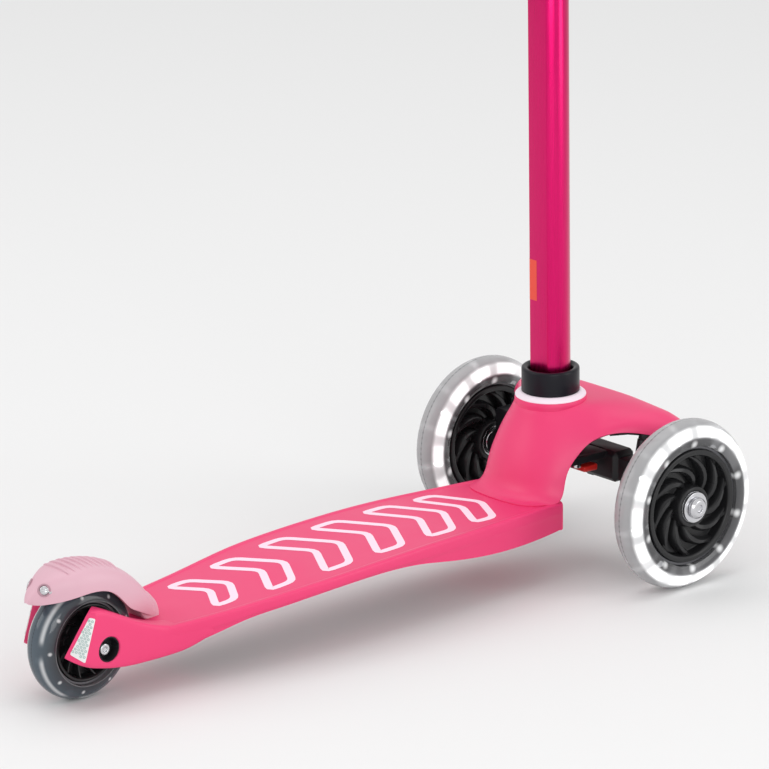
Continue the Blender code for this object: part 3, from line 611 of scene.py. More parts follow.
deckShape = {
    # y, height, half width, foot of the skirt
    "stations": [(-206, 43.6, 31.2, 27), (-198, 44.2, 31.75, 27.2), (-190, 44.6, 32.3, 27.3), (-173, 45.2, 35, 28.6),
                 (-148, 46.8, 39.5, 34), (-123, 48.3, 42.5, 40), (-98, 50.5, 45.8, 42), (-73, 52.6, 49.3, 45),
                 (-48, 54.4, 51.1, 47), (-10, 56.3, 51.1, 48.5), (20, 57.3, 50.6, 47), (40, 57.8, 50, 43.6),
                 (69, 57.8, 48.8, 39.1), (99, 57.5, 45.9, 35.9), (128, 56.9, 43, 35.2), (148, 56.6, 40.9, 36),
                 (158, 56.4, 39.9, 36.6), (163.5, 56.3, 39.3, 37.2)],
    "band": 7.6, "lip": 0.7, "wall": 3.0,
}


def deckSection(y, top, half, bottom):
    band = min(deckShape["band"], (top - bottom) * 0.72)
    lip = deckShape["lip"]
    return [(0, y, top), (half * 0.35, y, top), (half * 0.7, y, top), (half - 5.6, y, top),
            (half - 4.6, y, top + lip * 0.25), (half - 3.8, y, top + lip), (half - 1.6, y, top + lip),
            (half - 0.3, y, top), (half, y, top - 1.6), (half, y, top - band),
            (half - 0.7, y, top - band - 0.9), (half - 1.3, y, min(top - band - 1.6, bottom + 1.5)),
            (half - 1.4, y, bottom)]


def buildDeck():
    bm = bmesh.new()
    addGrid(bm, [deckSection(*station) for station in deckShape["stations"]])
    board = meshFrom("deckBoard", bm, finish["pink"])
    shelled(board, 3, deckShape["wall"])
    edged(board, 0.35)
    return place(baked(board), "frame", "deck")


neckShape = {
    "wall": 3.0,
    # columns from the middle to the shield's edge; each runs from the foot, up the back wall, to the front rim
    "columns": [
        [(0, 133.5, 57.9), (0, 139, 58.7), (0, 143.4, 62), (0, 146, 68), (0, 147.6, 77), (0, 151.6, 89),
         (0, 157.6, 102), (0, 161.6, 112), (0, 163, 120.9), (0, 196, 121), (0, 226, 118.4), (0, 240, 117.2),
         (0, 249, 110), (0, 252, 101.5)],
        [(13, 134, 57.9), (13, 139.8, 58.7), (13, 144.4, 62), (13, 147.2, 68), (13, 149, 77), (13, 153.2, 89),
         (13, 159.4, 102), (13.4, 163.8, 112), (13.6, 167, 120.9), (14, 197, 121), (14, 226, 118.4),
         (14, 240, 117.2), (14, 249, 110), (14, 252, 101.5)],
        [(25, 136, 57.9), (25, 143, 58.6), (25, 148.2, 62), (25, 151.2, 68), (25.2, 153.4, 77), (25.6, 158.8, 89),
         (26, 166.4, 101.5), (25.4, 174.6, 111.4), (23.4, 179.8, 120.2), (26, 200, 119.4), (26, 227, 118.2),
         (26, 240, 116.9), (26, 248.6, 110.2), (26, 251, 102)],
        [(32.5, 141, 57.8), (33, 149, 58.4), (33.2, 154.6, 61.6), (33.4, 158.4, 68), (33.6, 160.8, 77),
         (34.6, 168, 88), (36.6, 178.6, 98.6), (36.4, 187.6, 107.6), (33.4, 197, 114.2), (33.6, 208, 116.8),
         (34, 228, 117.6),
         (34, 240, 116.2), (34, 248, 110), (34, 250.2, 102.8)],
        [(38.6, 156.5, 56.8), (38.9, 160.4, 57.6), (38.9, 163, 60), (38.5, 165.6, 65), (38, 167.6, 77),
         (39.4, 175.6, 87.4), (42.8, 188, 99.4), (42.4, 197.6, 107), (42, 207.6, 112.9), (42, 218, 115.6),
         (42, 229.4, 117.2),
         (42, 240.6, 115.4), (42, 247.6, 109.6), (42, 249.6, 103.6)],
    ],
    # x, rear rim, crest and front rim of the arch
    "arch": [(51, (201, 102.6), (232, 115.9), (249.9, 103)), (60, (211.4, 102.5), (234.4, 114.8), (250.2, 102.2)),
             (68, (217.4, 101.6), (236.5, 112), (250.2, 101)), (74, (222.4, 99.8), (238.2, 109.6), (249.2, 99.8)),
             (78.4, (227, 98.2), (240, 107.2), (247.4, 99)), (79.6, (229, 97.8), (240, 106), (246.6, 98.8))],
    # the arch starts at this row of the last column
    "archRow": 6,
    # the wall that carries on down below the deck: its plan and its levels
    "skirtPlan": [(0, 146.4), (13, 147.8), (25, 152), (32.6, 157), (37, 161.4), (38.6, 164.6)],
    "skirtLevels": (57.4, 52, 44, 38, 36.6),
    "housing": [(18.7, 1.2), (24.7, 1.2), (25.3, -1.6), (24.6, -6), (23, -20), (18.7, -20)],
}
stemAxis = Matrix.Translation((0, 0.1882, 0.121)) @ Matrix.Rotation(math.radians(1.07), 4, "X")


def archColumn(x, rear, crest, front):
    # two quarter ellipses that meet at the crest
    points = []
    for degrees in (0, 21, 44, 68, 90):
        t = math.radians(degrees)
        points.append((x, crest[0] - (crest[0] - rear[0]) * math.cos(t),
                       rear[1] + (crest[1] - rear[1]) * math.sin(t)))
    for degrees in (35, 65, 90):
        t = math.radians(degrees)
        points.append((x, crest[0] + (front[0] - crest[0]) * math.sin(t),
                       front[1] + (crest[1] - front[1]) * math.cos(t)))
    return points


def neckWall(name, grids, levels, sharp, offset=-1.0):
    bm = bmesh.new()
    for rows in grids:
        addGrid(bm, rows)
    wall = meshFrom(name, bm, finish["pink"])
    shelled(wall, levels, neckShape["wall"], offset)
    edged(wall, 0.5, 2, 50)
    place(baked(wall, sharp), "frame")


def buildNeck():
    columns = neckShape["columns"]
    arch = [archColumn(*row) for row in neckShape["arch"]]
    neckWall("neckShell", [columns, [columns[-1][neckShape["archRow"]:]] + arch], 3, 45)
    skirt = [[(x, y, z) for x, y in neckShape["skirtPlan"]] for z in neckShape["skirtLevels"]]
    neckWall("neckSkirt", [skirt], 2, 38, 1.0)
    place(baked(spun("stemHousing", neckShape["housing"], finish["pink"], stemAxis, 48, 0.8)), "frame")


armShape = {
    # y, outer x, bottom, top
    "stations": [(-263.4, 31.7, 39.6, 41.4), (-260, 31.7, 37, 48), (-254, 31.7, 33.2, 59.4), (-248.6, 31.7, 31, 68),
                 (-245.4, 31.7, 30, 70), (-239, 31.7, 28.4, 69.4), (-231, 31.7, 26.6, 66), (-220, 31.7, 25, 60.5),
                 (-211, 31.7, 24.3, 55.7), (-199, 31.9, 24.2, 50.7), (-185, 33, 24.6, 46), (-171, 35.3, 26, 44.4),
                 (-158, 37.6, 30.6, 44.8), (-146, 39.4, 35, 45.4)],
    "inner": 16.2, "axle": (-234, 41.2),
    # profiles, in radius and distance from the middle, of the bolt's recess and of the dark cup that lines it
    "recess": [(0, 45), (12.5, 45), (9.6, 32.4), (8.7, 31), (8.4, 23.4), (0, 23.4)],
    "cup": [(0, 23.5), (8.4, 23.5), (8.5, 30.9), (7.9, 31), (7.8, 24), (0, 24)],
    # where on the flat the cut that narrows it upward starts, and the cut's turn in degrees
    "taper": (14.4, 2), "taperTurn": 14.1,
}

# the flat that carries the reflector: its lower outer corner, then upward, outward and inward directions
facetCorner = Vector((31.7, -254.2, 35.4))
facetUp = Vector((0, 0.305, 0.952)).normalized()
facetOut = Vector((0.69, -0.69, 0.221)).normalized()
facetIn = facetOut.cross(facetUp).normalized()


def facetPlace(side):
    # local x runs inward over the flat, y runs up it, z stands out of it
    corner, *columns = [Vector((side * v.x, v.y, v.z)) for v in (facetCorner, facetIn, facetUp, facetOut)]
    return Matrix.Translation(corner * mm) @ Matrix(columns).transposed().to_4x4()


def armSection(side, y, outer, bottom, top):
    inner = armShape["inner"]
    middle, level = (inner + outer) / 2, (bottom + top) / 2
    reach = min(3.2, (top - bottom) * 0.3)
    return [(side * x, y, z) for x, z in (
        (inner, bottom + 1.2), (inner, level), (inner, top - 1.2), (inner + 1.2, top), (middle, top),
        (outer - reach, top), (outer - 0.8, top - 0.9), (outer, top - reach), (outer, level), (outer, bottom + reach),
        (outer - 1.2, bottom + 0.8), (outer - reach, bottom), (middle, bottom), (inner + 1.2, bottom))]


def buildArm(side):
    bm = bmesh.new()
    addGrid(bm, [armSection(side, *station) for station in armShape["stations"]], ringed=True, capped=True)
    arm = meshFrom(sideName(side) + "ForkArm", bm, finish["pink"])
    smoothed(arm, 3)
    y, z = armShape["axle"]
    spot = Matrix.Translation(Vector((0, y, z)) * mm) @ outward(side)
    # blocks of this size reach past the arm
    size = 0.12
    x, y = armShape["taper"]
    trim = Matrix.Translation((x * mm, y * mm, 0)) @ Matrix.Rotation(math.radians(armShape["taperTurn"]), 4, "Z")
    tools = [spun("recessTool", armShape["recess"], finish["pink"], spot, 40, closed=False),
             block("facetTool", facetPlace(side) @ Matrix.Translation((0, 0, size / 2)), size),
             block("taperTool", facetPlace(side) @ trim @ Matrix.Translation((size / 2, 0, 0)), size)]
    cutBy(arm, tools)
    edged(arm, 0.5, 2, 28)
    place(baked(arm, 30), "frame")
    discard(*tools)
    cup = spun(sideName(side) + "BoltCup", armShape["cup"], finish["black"], spot, 40, closed=False)
    place(baked(cup), "frame")


board = buildDeck()
buildNeck()
for side in (-1, 1):
    buildArm(side)
print("deck, neck and arms made")


# print on the deck: plain outlined chevrons, lying on the board

printShape = {"line": 5.4, "lift": 0.10, "corner": 6, "step": 3, "shares": (-0.5, -0.17, 0.17, 0.5),
              # y of the outer ends, half width, depth
              "arrows": [(-138, 25, 16), (-96, 31, 19), (-50, 34.5, 21), (-3, 34.5, 21), (44, 34, 21), (88, 31.5, 17)]}


def surfaceOf(thing):
    return BVHTree.FromPolygons([v.co.copy() for v in thing.data.vertices],
                                [tuple(f.vertices) for f in thing.data.polygons])


def strip(bm, path, drop):
    # a flat band of even width that follows a closed plan path and lies on the board
    fine = []
    for i, point in enumerate(path):
        a, b = Vector(point), Vector(path[(i + 1) % len(path)])
        parts = max(1, int((b - a).length / printShape["step"]))
        fine += [a.lerp(b, k / parts) for k in range(parts)]
    rows = []
    for i, point in enumerate(fine):
        ahead = (fine[(i + 1) % len(fine)] - point).normalized()
        behind = (point - fine[i - 1]).normalized()
        along = (ahead + behind).normalized()
        across = Vector((-along.y, along.x)) * printShape["line"] / max(0.5, along.dot(ahead))
        rows.append([drop(point + across * share) for share in printShape["shares"]])
    for row, after in zip(rows, rows[1:] + rows[:1]):
        for i in range(3):
            bm.faces.new([bm.verts.new(p) for p in (row[i], row[i + 1], after[i + 1], after[i])])


def buildPrint():
    ground = surfaceOf(board)

    def drop(point):
        hit = ground.ray_cast(Vector((point.x * mm, point.y * mm, 0.09)), Vector((0, 0, -1)))[0]
        return hit + Vector((0, 0, printShape["lift"] * mm))

    bm = bmesh.new()
    for y, half, depth in printShape["arrows"]:
        tall = depth * 1.05
        outer = [(-half, y), (0, y + depth), (half, y), (half, y + tall), (0, y + depth + tall), (-half, y + tall)]
        strip(bm, softened(outer, printShape["corner"]), drop)
    pattern = meshFrom("deckPrint", bm, finish["print"])
    for face in pattern.data.polygons:
        face.use_smooth = True
    if sum(face.normal.z for face in pattern.data.polygons) < 0:
        pattern.data.flip_normals()
    place(pattern, "frame")


buildPrint()
print("deck print made")


# T-bar: collar, ring, flat-backed tubes, clamp and handlebar

tubeShapes = {
    "mainTube": dict(radius=14.0, flat=10.9, wall=1.8, low=-33, high=319, finish="magenta"),
    "slideTube": dict(radius=10.8, flat=7.7, wall=1.6, low=164, high=451.8, finish="silver"),
}


def flatTube(name, radius, flat, wall, low, high, finish):
    # a round section with one flat at the back and tight corners
    half = math.acos(flat / radius)
    start = -math.pi / 2 + half
    sweep = math.tau - 2 * half
    turns = [start + sweep * i / 72 for i in range(73)]
    rows = [[(r * math.cos(t), r * math.sin(t), z) for t in turns]
            for r, z in ((radius, low), (radius, high), (radius - wall, high), (radius - wall, low))]
    bm = bmesh.new()
    addGrid(bm, rows, ringed=True, looped=True, at=stemAxis)
    tube = meshFrom(name, bm, finish)
    edged(tube, 0.45, 3, 30)
    return baked(tube, 30)


for name, body, node in (("mainTube", "t_bar", "lower_tube"), ("slideTube", "handlebar", "upper_tube")):
    values = dict(tubeShapes[name], finish=finish[tubeShapes[name]["finish"]])
    place(flatTube(name, **values), body, node)

collarProfile = [(16.3, 21.4), (20.3, 21.4), (20.3, 3.4), (18.3, 3.4), (18.3, -35), (14.4, -35), (14.4, 17)]
collar = spun("stemCollar", collarProfile, finish["collar"], stemAxis, 72, 2.2)
place(baked(collar, 50), "frame", "socket_sleeve")
ringProfile = [(18.7, 0.8), (24.9, 0.8), (24.7, 1.8), (21.6, 4.2), (18.7, 4.2)]
place(baked(spun("neckRing", ringProfile, finish["pale"], stemAxis, 72, 0.6), 60), "frame", "head_ring")

# heights along the tube, angles round it in degrees, radius just off the tube, and how far back its flat lies
labelShape = {"low": 70, "high": 99, "from": 196, "to": 263, "steps": 14, "radius": 14.08, "flat": -10.98}


def buildLabel():
    # a plain stuck-on label that wraps the tube's rear corner
    start, sweep, radius = labelShape["from"], labelShape["to"] - labelShape["from"], labelShape["radius"]
    turns = [math.radians(start + sweep * i / labelShape["steps"]) for i in range(labelShape["steps"] + 1)]
    bm = bmesh.new()
    addGrid(bm, [[(radius * math.cos(t), max(radius * math.sin(t), labelShape["flat"]), z) for t in turns]
                 for z in (labelShape["low"], labelShape["high"])], at=stemAxis)
    label = meshFrom("tubeLabel", bm, finish["label"])
    thickened(label, 0.06, 1.0)
    place(baked(label, 30), "t_bar")


buildLabel()
refined("tube_foot", "black")
refined("clamp_collar", "black", 0.6, 3)
refined("clamp_bolt", "steel")
refined("clamp_nut", "steel")
refined("clamp_pin", "steel", 0.25)
refined("clamp_lever", "black", 0.8, 3)
refined("bar_tee", "black", 0.8, 3)

barCentre = stemAxis @ Matrix.Translation((0, 0, 0.464))
barProfile = [(9.4, -115), (11, -115), (11, 115), (9.4, 115)]
bar = spun("barTube", barProfile, finish["silver"], barCentre @ alongX, 48, 0.4)
place(baked(bar), "handlebar", "handlebar")

gripShape = {
    "profile": [(11.4, 28.5), (18.5, 28.5), (18.5, 32.5), (14.6, 36.5), (15.2, 44), (15.4, 80), (15.0, 106),
                (17.4, 112.5), (18, 117), (17, 122), (12, 125), (0, 125), (0, 115.3), (11.4, 115.3)],
    # raised rings along the hand's part: how many, from where to where, and the size of one
    "rings": 22, "from": 44, "to": 104, "ringRadius": 15.3, "ringWire": (0.55, 0.8),
}


def buildGrip(side):
    label = sideName(side)
    axis = barCentre @ outward(side)
    grip = spun(label + "Grip", gripShape["profile"], finish["rubber"], axis, 48, 1.2, closed=False)
    place(baked(grip, 50), "handlebar", label + "_grip")
    radius, (deep, broad) = gripShape["ringRadius"], gripShape["ringWire"]
    bm = bmesh.new()
    addGrid(bm, [[((radius + deep * c) * x, (radius + deep * c) * y, broad * d) for c, d in around(1, 6)]
                 for x, y in around(1, 36)],
            ringed=True, looped=True, at=Matrix.Rotation(math.pi / 2, 4, "X"))
    source = meshFrom("gripRing", bm, finish["rubber"])
    ends = [axis @ Vector((0, 0, gripShape[end] * mm)) for end in ("from", "to")]
    rings = repeated(label + "GripRings", alongTree, source, finish["rubber"], pathThrough("gripPath", ends),
                     Count=gripShape["rings"])
    place(rings, "handlebar")


for side in (-1, 1):
    buildGrip(side)
print("T-bar made")


# brake fender

fenderShape = {
    # crest y and z, lower edge y and z, half width
    "rows": [(-278, 75.2, -277.4, 74.4, 1.6), (-276.6, 78.4, -275.4, 74, 4), (-273.6, 82.8, -271.5, 73.5, 6.8),
             (-268, 88, -265.4, 74, 10.4), (-261, 92, -258.5, 75.1, 14.8), (-253, 94.4, -250, 77.2, 19),
             (-244.6, 95.2, -242.5, 78.4, 20.3), (-236, 94.9, -235.5, 78.5, 20.5), (-225.4, 93.2, -228, 77.5, 20.5),
             (-215, 90.2, -220.8, 74.6, 20.4), (-207, 86.2, -215.2, 69.9, 20), (-198.6, 80.5, -210, 64.4, 19.2),
             (-190, 72.7, -205, 59, 18.2), (-182, 63.2, -196, 54.6, 15.6), (-176.4, 54.6, -186, 49.4, 12),
             (-174.4, 49, -179, 46, 9.6)],
    "wall": 2.4,
    # ridges over the crest: how many, from which y over what length, half width, and the points across one
    "ridges": 9, "ridgeFrom": -252.5, "ridgeOver": 41, "ridgeHalf": 13.6,
    "ridgeAcross": (-13.5, -12.6, -10, -6, 0, 6, 10, 12.6, 13.5),
    # the foot that reaches the brake pin, and the barrel round the pin
    "foot": [(-172.8, 43), (-173, 49), (-175, 55), (-181, 62), (-187.5, 67.5), (-190.5, 62), (-190, 52), (-186, 45),
             (-180, 42.6)],
    "footHalf": 9, "barrel": [(2.3, -9), (3.9, -9), (3.9, 9), (2.3, 9)], "pin": (0, -0.174, 0.041),
    # how far across and how far down the side each point of a row lies
    "section": [(0, 0), (0.35, 0.015), (0.66, 0.08), (0.87, 0.25), (0.98, 0.55), (1, 1)],
}


def fenderRow(crestY, crestZ, edgeY, edgeZ, half):
    return [(across * half, crestY + (edgeY - crestY) * down, crestZ + (edgeZ - crestZ) * down)
            for across, down in fenderShape["section"]]


def buildFender():
    bm = bmesh.new()
    addGrid(bm, [fenderRow(*row) for row in fenderShape["rows"]])
    fender = meshFrom("brakeFender", bm, finish["blush"])
    shelled(fender, 3, fenderShape["wall"])
    edged(fender, 0.6, 2, 50)
    place(baked(fender, 50), "brake", "brake_fender")
    skin = surfaceOf(fender)
    rows = []
    for x in fenderShape["ridgeAcross"]:
        fall = 1 - (abs(x) / fenderShape["ridgeHalf"]) ** 4
        rows.append([(x, 1.25 * c * fall, 1.5 * d * fall - 0.0095 * x * x) for c, d in around(1, 8)])
    bm = bmesh.new()
    addGrid(bm, rows, ringed=True)
    source = meshFrom("ridge", bm, finish["blush"])
    crest = []
    for i in range(17):
        y = (fenderShape["ridgeFrom"] + fenderShape["ridgeOver"] * i / 16) * mm
        hit = skin.ray_cast(Vector((0, y, 0.12)), Vector((0, 0, -1)))[0]
        crest.append((0, y, hit.z + 0.0001))
    ridges = repeated("fenderRidges", alongTree, source, finish["blush"], pathThrough("crestPath", crest),
                      Count=fenderShape["ridges"])
    place(ridges, "brake")
    half = fenderShape["footHalf"]
    foot = extruded("fenderFoot", softened(fenderShape["foot"], 2.5), -half, half, finish["blush"])
    edged(foot, 1.6, 4, 40)
    place(baked(foot), "brake")
    barrel = spun("fenderBarrel", fenderShape["barrel"], finish["blush"],
                  Matrix.Translation(fenderShape["pin"]) @ alongX, 32, 0.6)
    place(baked(barrel), "brake")
    return skin


screwShape = {
    "near": (10.6, -270.8, 85), "slot": (0.0036, 0.0007, 0.0022, 1), "slotLift": 0.0012,
    "head": [(0, 1.1), (1.5, 1.0), (2.7, 0.5), (3.2, -0.3), (3.2, -1.2), (1.2, -1.4), (1.2, -4.4), (0, -4.4)],
    # seat: the ring round the head, coloured as painted shade
    "seat": [(3.3, -1.0), (4.4, -1.0), (4.4, 0.15), (3.3, 0.15)],
}


def buildScrew(side):
    # a cross-recessed head on the shoulder of the fender's tail, in a seat darkened with painted shade
    label = sideName(side)
    x, y, z = screwShape["near"]
    near, normal = fenderSkin.find_nearest(Vector((side * x, y, z)) * mm)[:2]
    spot = Matrix.Translation(near) @ normal.to_track_quat("Z", "Y").to_matrix().to_4x4()
    screw = spun(label + "FenderScrew", screwShape["head"], finish["steel"], spot, 28, 0.25, closed=False)
    lift, size = Matrix.Translation((0, 0, screwShape["slotLift"])), Matrix.Diagonal(screwShape["slot"])
    tools = [block("slotTool", spot @ lift @ Matrix.Rotation(turn, 4, "Z") @ size) for turn in (0, math.pi / 2)]
    cutBy(screw, tools)
    place(baked(screw, 30), "brake", label + "_fender_screw")
    discard(*tools)
    # a ring in the darkened fender colour: painted shade round the head
    seat = spun(label + "ScrewSeat", screwShape["seat"], finish["seat"], spot, 32, 0.3)
    place(baked(seat, 40), "brake")


fenderSkin = buildFender()
for side in (-1, 1):
    buildScrew(side)
refined("brake_pad", "steel", 0.2)
refined("brake_pin", "steel")
print("brake made")


# wheels

wheelShape = {
    # radii: outer, the tyre's seat, the core's outside, the core's rim and the lamps; half widths: lamp and half
    "front": dict(outer=60, seat=42.6, core=40, rim=35, lamp=8, half=10, vanes=10, lamps=8, lampAt=45.6),
    "rear": dict(outer=40, seat=28.7, core=26.4, rim=23, lamp=9, half=10, vanes=12, lamps=6, lampAt=32.5),
    "bulge": 12, "lampSize": (3.0, 1.3, 2.2),
    # points across a blade of the core: share of its width, share of its height
    "blade": ((-1, 0), (-0.86, 0.72), (-0.4, 0.98), (0.4, 0.98), (0.86, 0.72), (1, 0)),
    "fork": ((-1, 0), (-0.8, 0.75), (0, 1), (0.8, 0.75), (1, 0)),
    "bladeBase": 2.2, "bladeFrom": 13.2, "forkFrom": 23.5,
    "bearing": [(4.3, 4.7), (7.2, 4.7), (7.6, 5.3), (8.8, 5.3), (9.2, 4.7), (11, 4.7), (11, 11.7), (9.2, 11.7),
                (8.8, 11.1), (7.6, 11.1), (7.2, 11.7), (4.3, 11.7)],
}


def tyreOutline(outer, seat, steps=26):
    bulge = wheelShape["bulge"]
    middle = outer - bulge
    start = math.asin((seat - middle) / bulge)
    sweep = math.pi - 2 * start
    turns = [start + sweep * i / steps for i in range(steps + 1)]
    return [(middle + bulge * math.sin(t), bulge * math.cos(t)) for t in turns]


def bladeSource(name, side, steps, start, end, section, lie):
    # one raised blade of the core; lie gives its angle, half width and height at a share of its length
    rows = []
    for i in range(steps):
        t = i / (steps - 1)
        r = start + (end - start) * t
        angle, wide, tall = lie(t)
        lean = Vector((-math.sin(angle), math.cos(angle)))
        middle = Vector((r * math.cos(angle), r * math.sin(angle)))
        spots = [(middle + lean * wide * across, up) for across, up in section]
        rows.append([(side * (wheelShape["bladeBase"] + up * tall), *spot) for spot, up in spots])
    bm = bmesh.new()
    addGrid(bm, rows, capped=True)
    return meshFrom(name, bm, finish["core"])


def sweptLie(t):
    return (0.95 * t ** 1.25, 1.8 + 3.9 * math.sin(math.pi * min(1, t * 0.9)) ** 1.1 * (0.5 + 0.7 * t),
            4.2 + 3.4 * math.sin(math.pi * t * 0.9))


def straightLie(t):
    return 0.25 * t, 1.15, 5.0 + 2.0 * t


def forkLie(t):
    # the short outer branch between two swept blades
    return 0.30 + 0.26 * math.pi / 5 + 0.42 * t, 0.7 + 2.2 * t, 3.0 + 3.6 * t


def lampSource(shape):
    bm = bmesh.new()
    bmesh.ops.create_uvsphere(bm, u_segments=12, v_segments=8, radius=1)
    size = Matrix.Diagonal([length * mm for length in wheelShape["lampSize"]] + [1])
    bmesh.ops.transform(bm, matrix=Matrix.Translation((0, shape["lampAt"] * mm, 0)) @ size, verts=bm.verts)
    return meshFrom("lamp", bm, finish["lamp"])


def buildWheel(label, node, kind, centre, side):
    shape = wheelShape[kind]
    body = node + "_wheel"
    axis = Matrix.Translation(centre) @ alongX
    tyre = spun(label + "Tyre", tyreOutline(shape["outer"], shape["seat"]), finish[kind + "Tyre"], axis, 96)
    place(baked(tyre, 50), body, node + "_tyre")
    low, high, lamp = shape["core"] + 0.3, shape["seat"] - 0.3, shape["lamp"]
    ring = spun(label + "LightRing", [(low, -lamp), (high, -lamp), (high, lamp), (low, lamp)], finish["smoke"],
                axis, 72, 0.4)
    place(baked(ring, 50), body, node + "_light_ring")
    half, rim, core = shape["half"], shape["rim"], shape["core"]
    profile = [(11.3, 12), (14, 12), (14.8, 9.6), (15.4, 3.2), (rim, 2.4), (rim + 0.7, half - 1.2), (rim + 1.6, half),
               (core, half)]
    profile += [(r, -h) for r, h in reversed(profile)] + [(11.3, -4.4), (9.5, -4.4), (9.5, 4.4), (11.3, 4.4)]
    hub = spun(label + "Core", profile, finish["core"], axis, 72, 0.7)
    place(baked(hub, 45), body, node + "_core")
    blades = [("Vanes", 9, "bladeFrom", "blade", sweptLie if kind == "front" else straightLie)]
    if kind == "front":
        blades.append(("Forks", 6, "forkFrom", "fork", forkLie))
    for name, steps, start, section, lie in blades:
        for face, end in ((1, "Out"), (-1, "In")):
            source = bladeSource("blade", face, steps, wheelShape[start], rim + 0.6, wheelShape[section], lie)
            vanes = repeated(label + name + end, aroundTree, source, finish["core"], Count=shape["vanes"],
                             Centre=centre)
            place(vanes, body)
    lamps = repeated(label + "Lamps", aroundTree, lampSource(shape), finish["lamp" if kind == "front" else "dimLamp"],
                     Count=shape["lamps"], Centre=centre, Start=0.2)
    place(lamps, body)
    outer = wheelShape["bearing"]
    for where, outline in (("outer", outer), ("inner", [(r, h - 16.4) for r, h in outer])):
        bearing = spun(label + where.capitalize() + "Bearing", outline, finish["steel"],
                       Matrix.Translation(centre) @ outward(side), 40, 0.25)
        place(baked(bearing, 40), body, node + "_" + where + "_bearing")


frontHub = (0.101, frontAxle[1], frontAxle[2])
buildWheel("frontLeft", "front_left", "front", (-frontHub[0], *frontHub[1:]), -1)
buildWheel("frontRight", "front_right", "front", frontHub, 1)
buildWheel("rear", "rear", "rear", rearAxle, 1)

boltShape = {
    "washer": [(4.3, 12.3), (10.8, 12.3), (10.8, 13.8), (4.3, 13.8)],
    "front": [(0, 16.4), (2.6, 16.4), (2.9, 18), (5.6, 18), (7.4, 16.2), (7.5, 14.1), (4, 14.1), (4, -24), (0, -24)],
    "rear": [(0, 26.2), (1.6, 26.2), (1.9, 27.2), (3.6, 27.2), (4.6, 26), (4.6, 24.1), (4, 24.1), (4, -30.2),
             (0, -30.2)],
}


def buildAxleBolt(side):
    label = sideName(side)
    axis = Matrix.Translation((side * frontHub[0], *frontHub[1:])) @ outward(side)
    washer = spun(label + "AxleWasher", boltShape["washer"], finish["steel"], axis, 56, 0.4)
    place(baked(washer, 50), label + "_steering_arm", "front_" + label + "_axle_washer")
    bolt = spun(label + "AxleBolt", boltShape["front"], finish["steel"], axis, 48, 0.4, closed=False)
    place(baked(bolt, 40), label + "_steering_arm", "front_" + label + "_axle_bolt")


for side in (-1, 1):
    buildAxleBolt(side)
bolt = spun("rearAxleBolt", boltShape["rear"], finish["steel"], Matrix.Translation(rearAxle) @ alongX, 48, 0.35,
            closed=False)
place(baked(bolt, 40), "frame", "rear_axle_bolt")
refined("rear_axle_nut", "steel", 0.4)
print("wheels made")


# reflectors: a white plate on each fork arm's flat, with hexagon cells

reflectorShape = {
    "corners": [(0.5, 0.9), (11.6, 4.2), (4.7, 30.6), (0.5, 30.8)], "levels": (-0.4, 0.5), "pitch": 2.3,
    # radius and height of a cell's rings, and the share of the plate that cells cover
    "cell": ((1.02, -0.1), (0.95, 0.16), (0.68, 0.16), (0.6, 0.0), (0.0, -0.05)), "cellLift": 0.52, "covered": 0.86,
}


def inside(point, corners):
    turns = set()
    for a, b in zip(corners, corners[1:] + corners[:1]):
        turns.add((b[0] - a[0]) * (point[1] - a[1]) - (b[1] - a[1]) * (point[0] - a[0]) > 0)
    return len(turns) == 1


def buildReflector(side):
    label = sideName(side)
    corners = reflectorShape["corners"]
    spot = facetPlace(side)
    bm = bmesh.new()
    addGrid(bm, [[(u, v, h) for u, v in softened(corners, 1.2)] for h in reflectorShape["levels"]], ringed=True,
            at=spot, capped=True)
    plate = meshFrom(label + "ReflectorPlate", bm, finish["white"])
    edged(plate, 0.15)
    place(baked(plate, 30), "frame", label + "_reflector")
    middle = Vector((sum(c[0] for c in corners) / 4, sum(c[1] for c in corners) / 4))
    near = [tuple(middle + (Vector(c) - middle) * reflectorShape["covered"]) for c in corners]
    pitch = reflectorShape["pitch"]
    points = []
    for row in range(-12, 13):
        for column in range(-8, 9):
            seat = (middle.x + pitch * (column + 0.5 * (row % 2)), middle.y + pitch * 0.866 * row)
            if inside(seat, near):
                points.append(spot @ (Vector((*seat, reflectorShape["cellLift"])) * mm))
    data = bpy.data.meshes.new("cellPoints")
    data.from_pydata(points, [], [])
    bm = bmesh.new()
    addGrid(bm, [[(r * x, r * y, h) for r, h in reflectorShape["cell"]] for x, y in around(1, 6)], looped=True,
            at=spot.to_3x3().to_4x4())
    cells = repeated(label + "ReflectorCells", cellTree, meshFrom("cell", bm, finish["white"]), finish["cell"],
                     linked("cellPoints", data))
    place(cells, "frame")


for side in (-1, 1):
    buildReflector(side)
print("reflectors made")


# running gear and small metal parts keep their CAD shape with rounded edges

for node, colour, width in (
        ("underside_plate", "black", 0.5), ("front_carrier", "black", 0.7), ("left_arch_liner", "liner", 0.4),
        ("right_arch_liner", "liner", 0.4), ("left_steering_arm", "black", 0.7), ("right_steering_arm", "black", 0.7),
        ("left_kingpin", "steel", 0.4), ("right_kingpin", "steel", 0.4), ("left_carrier_screw", "steel", 0.3),
        ("right_carrier_screw", "steel", 0.3), ("tie_rod", "steel", 0.3), ("release_lever", "red", 0.7),
        ("latch_pin", "steel", 0.3)):
    refined(node, colour, width)


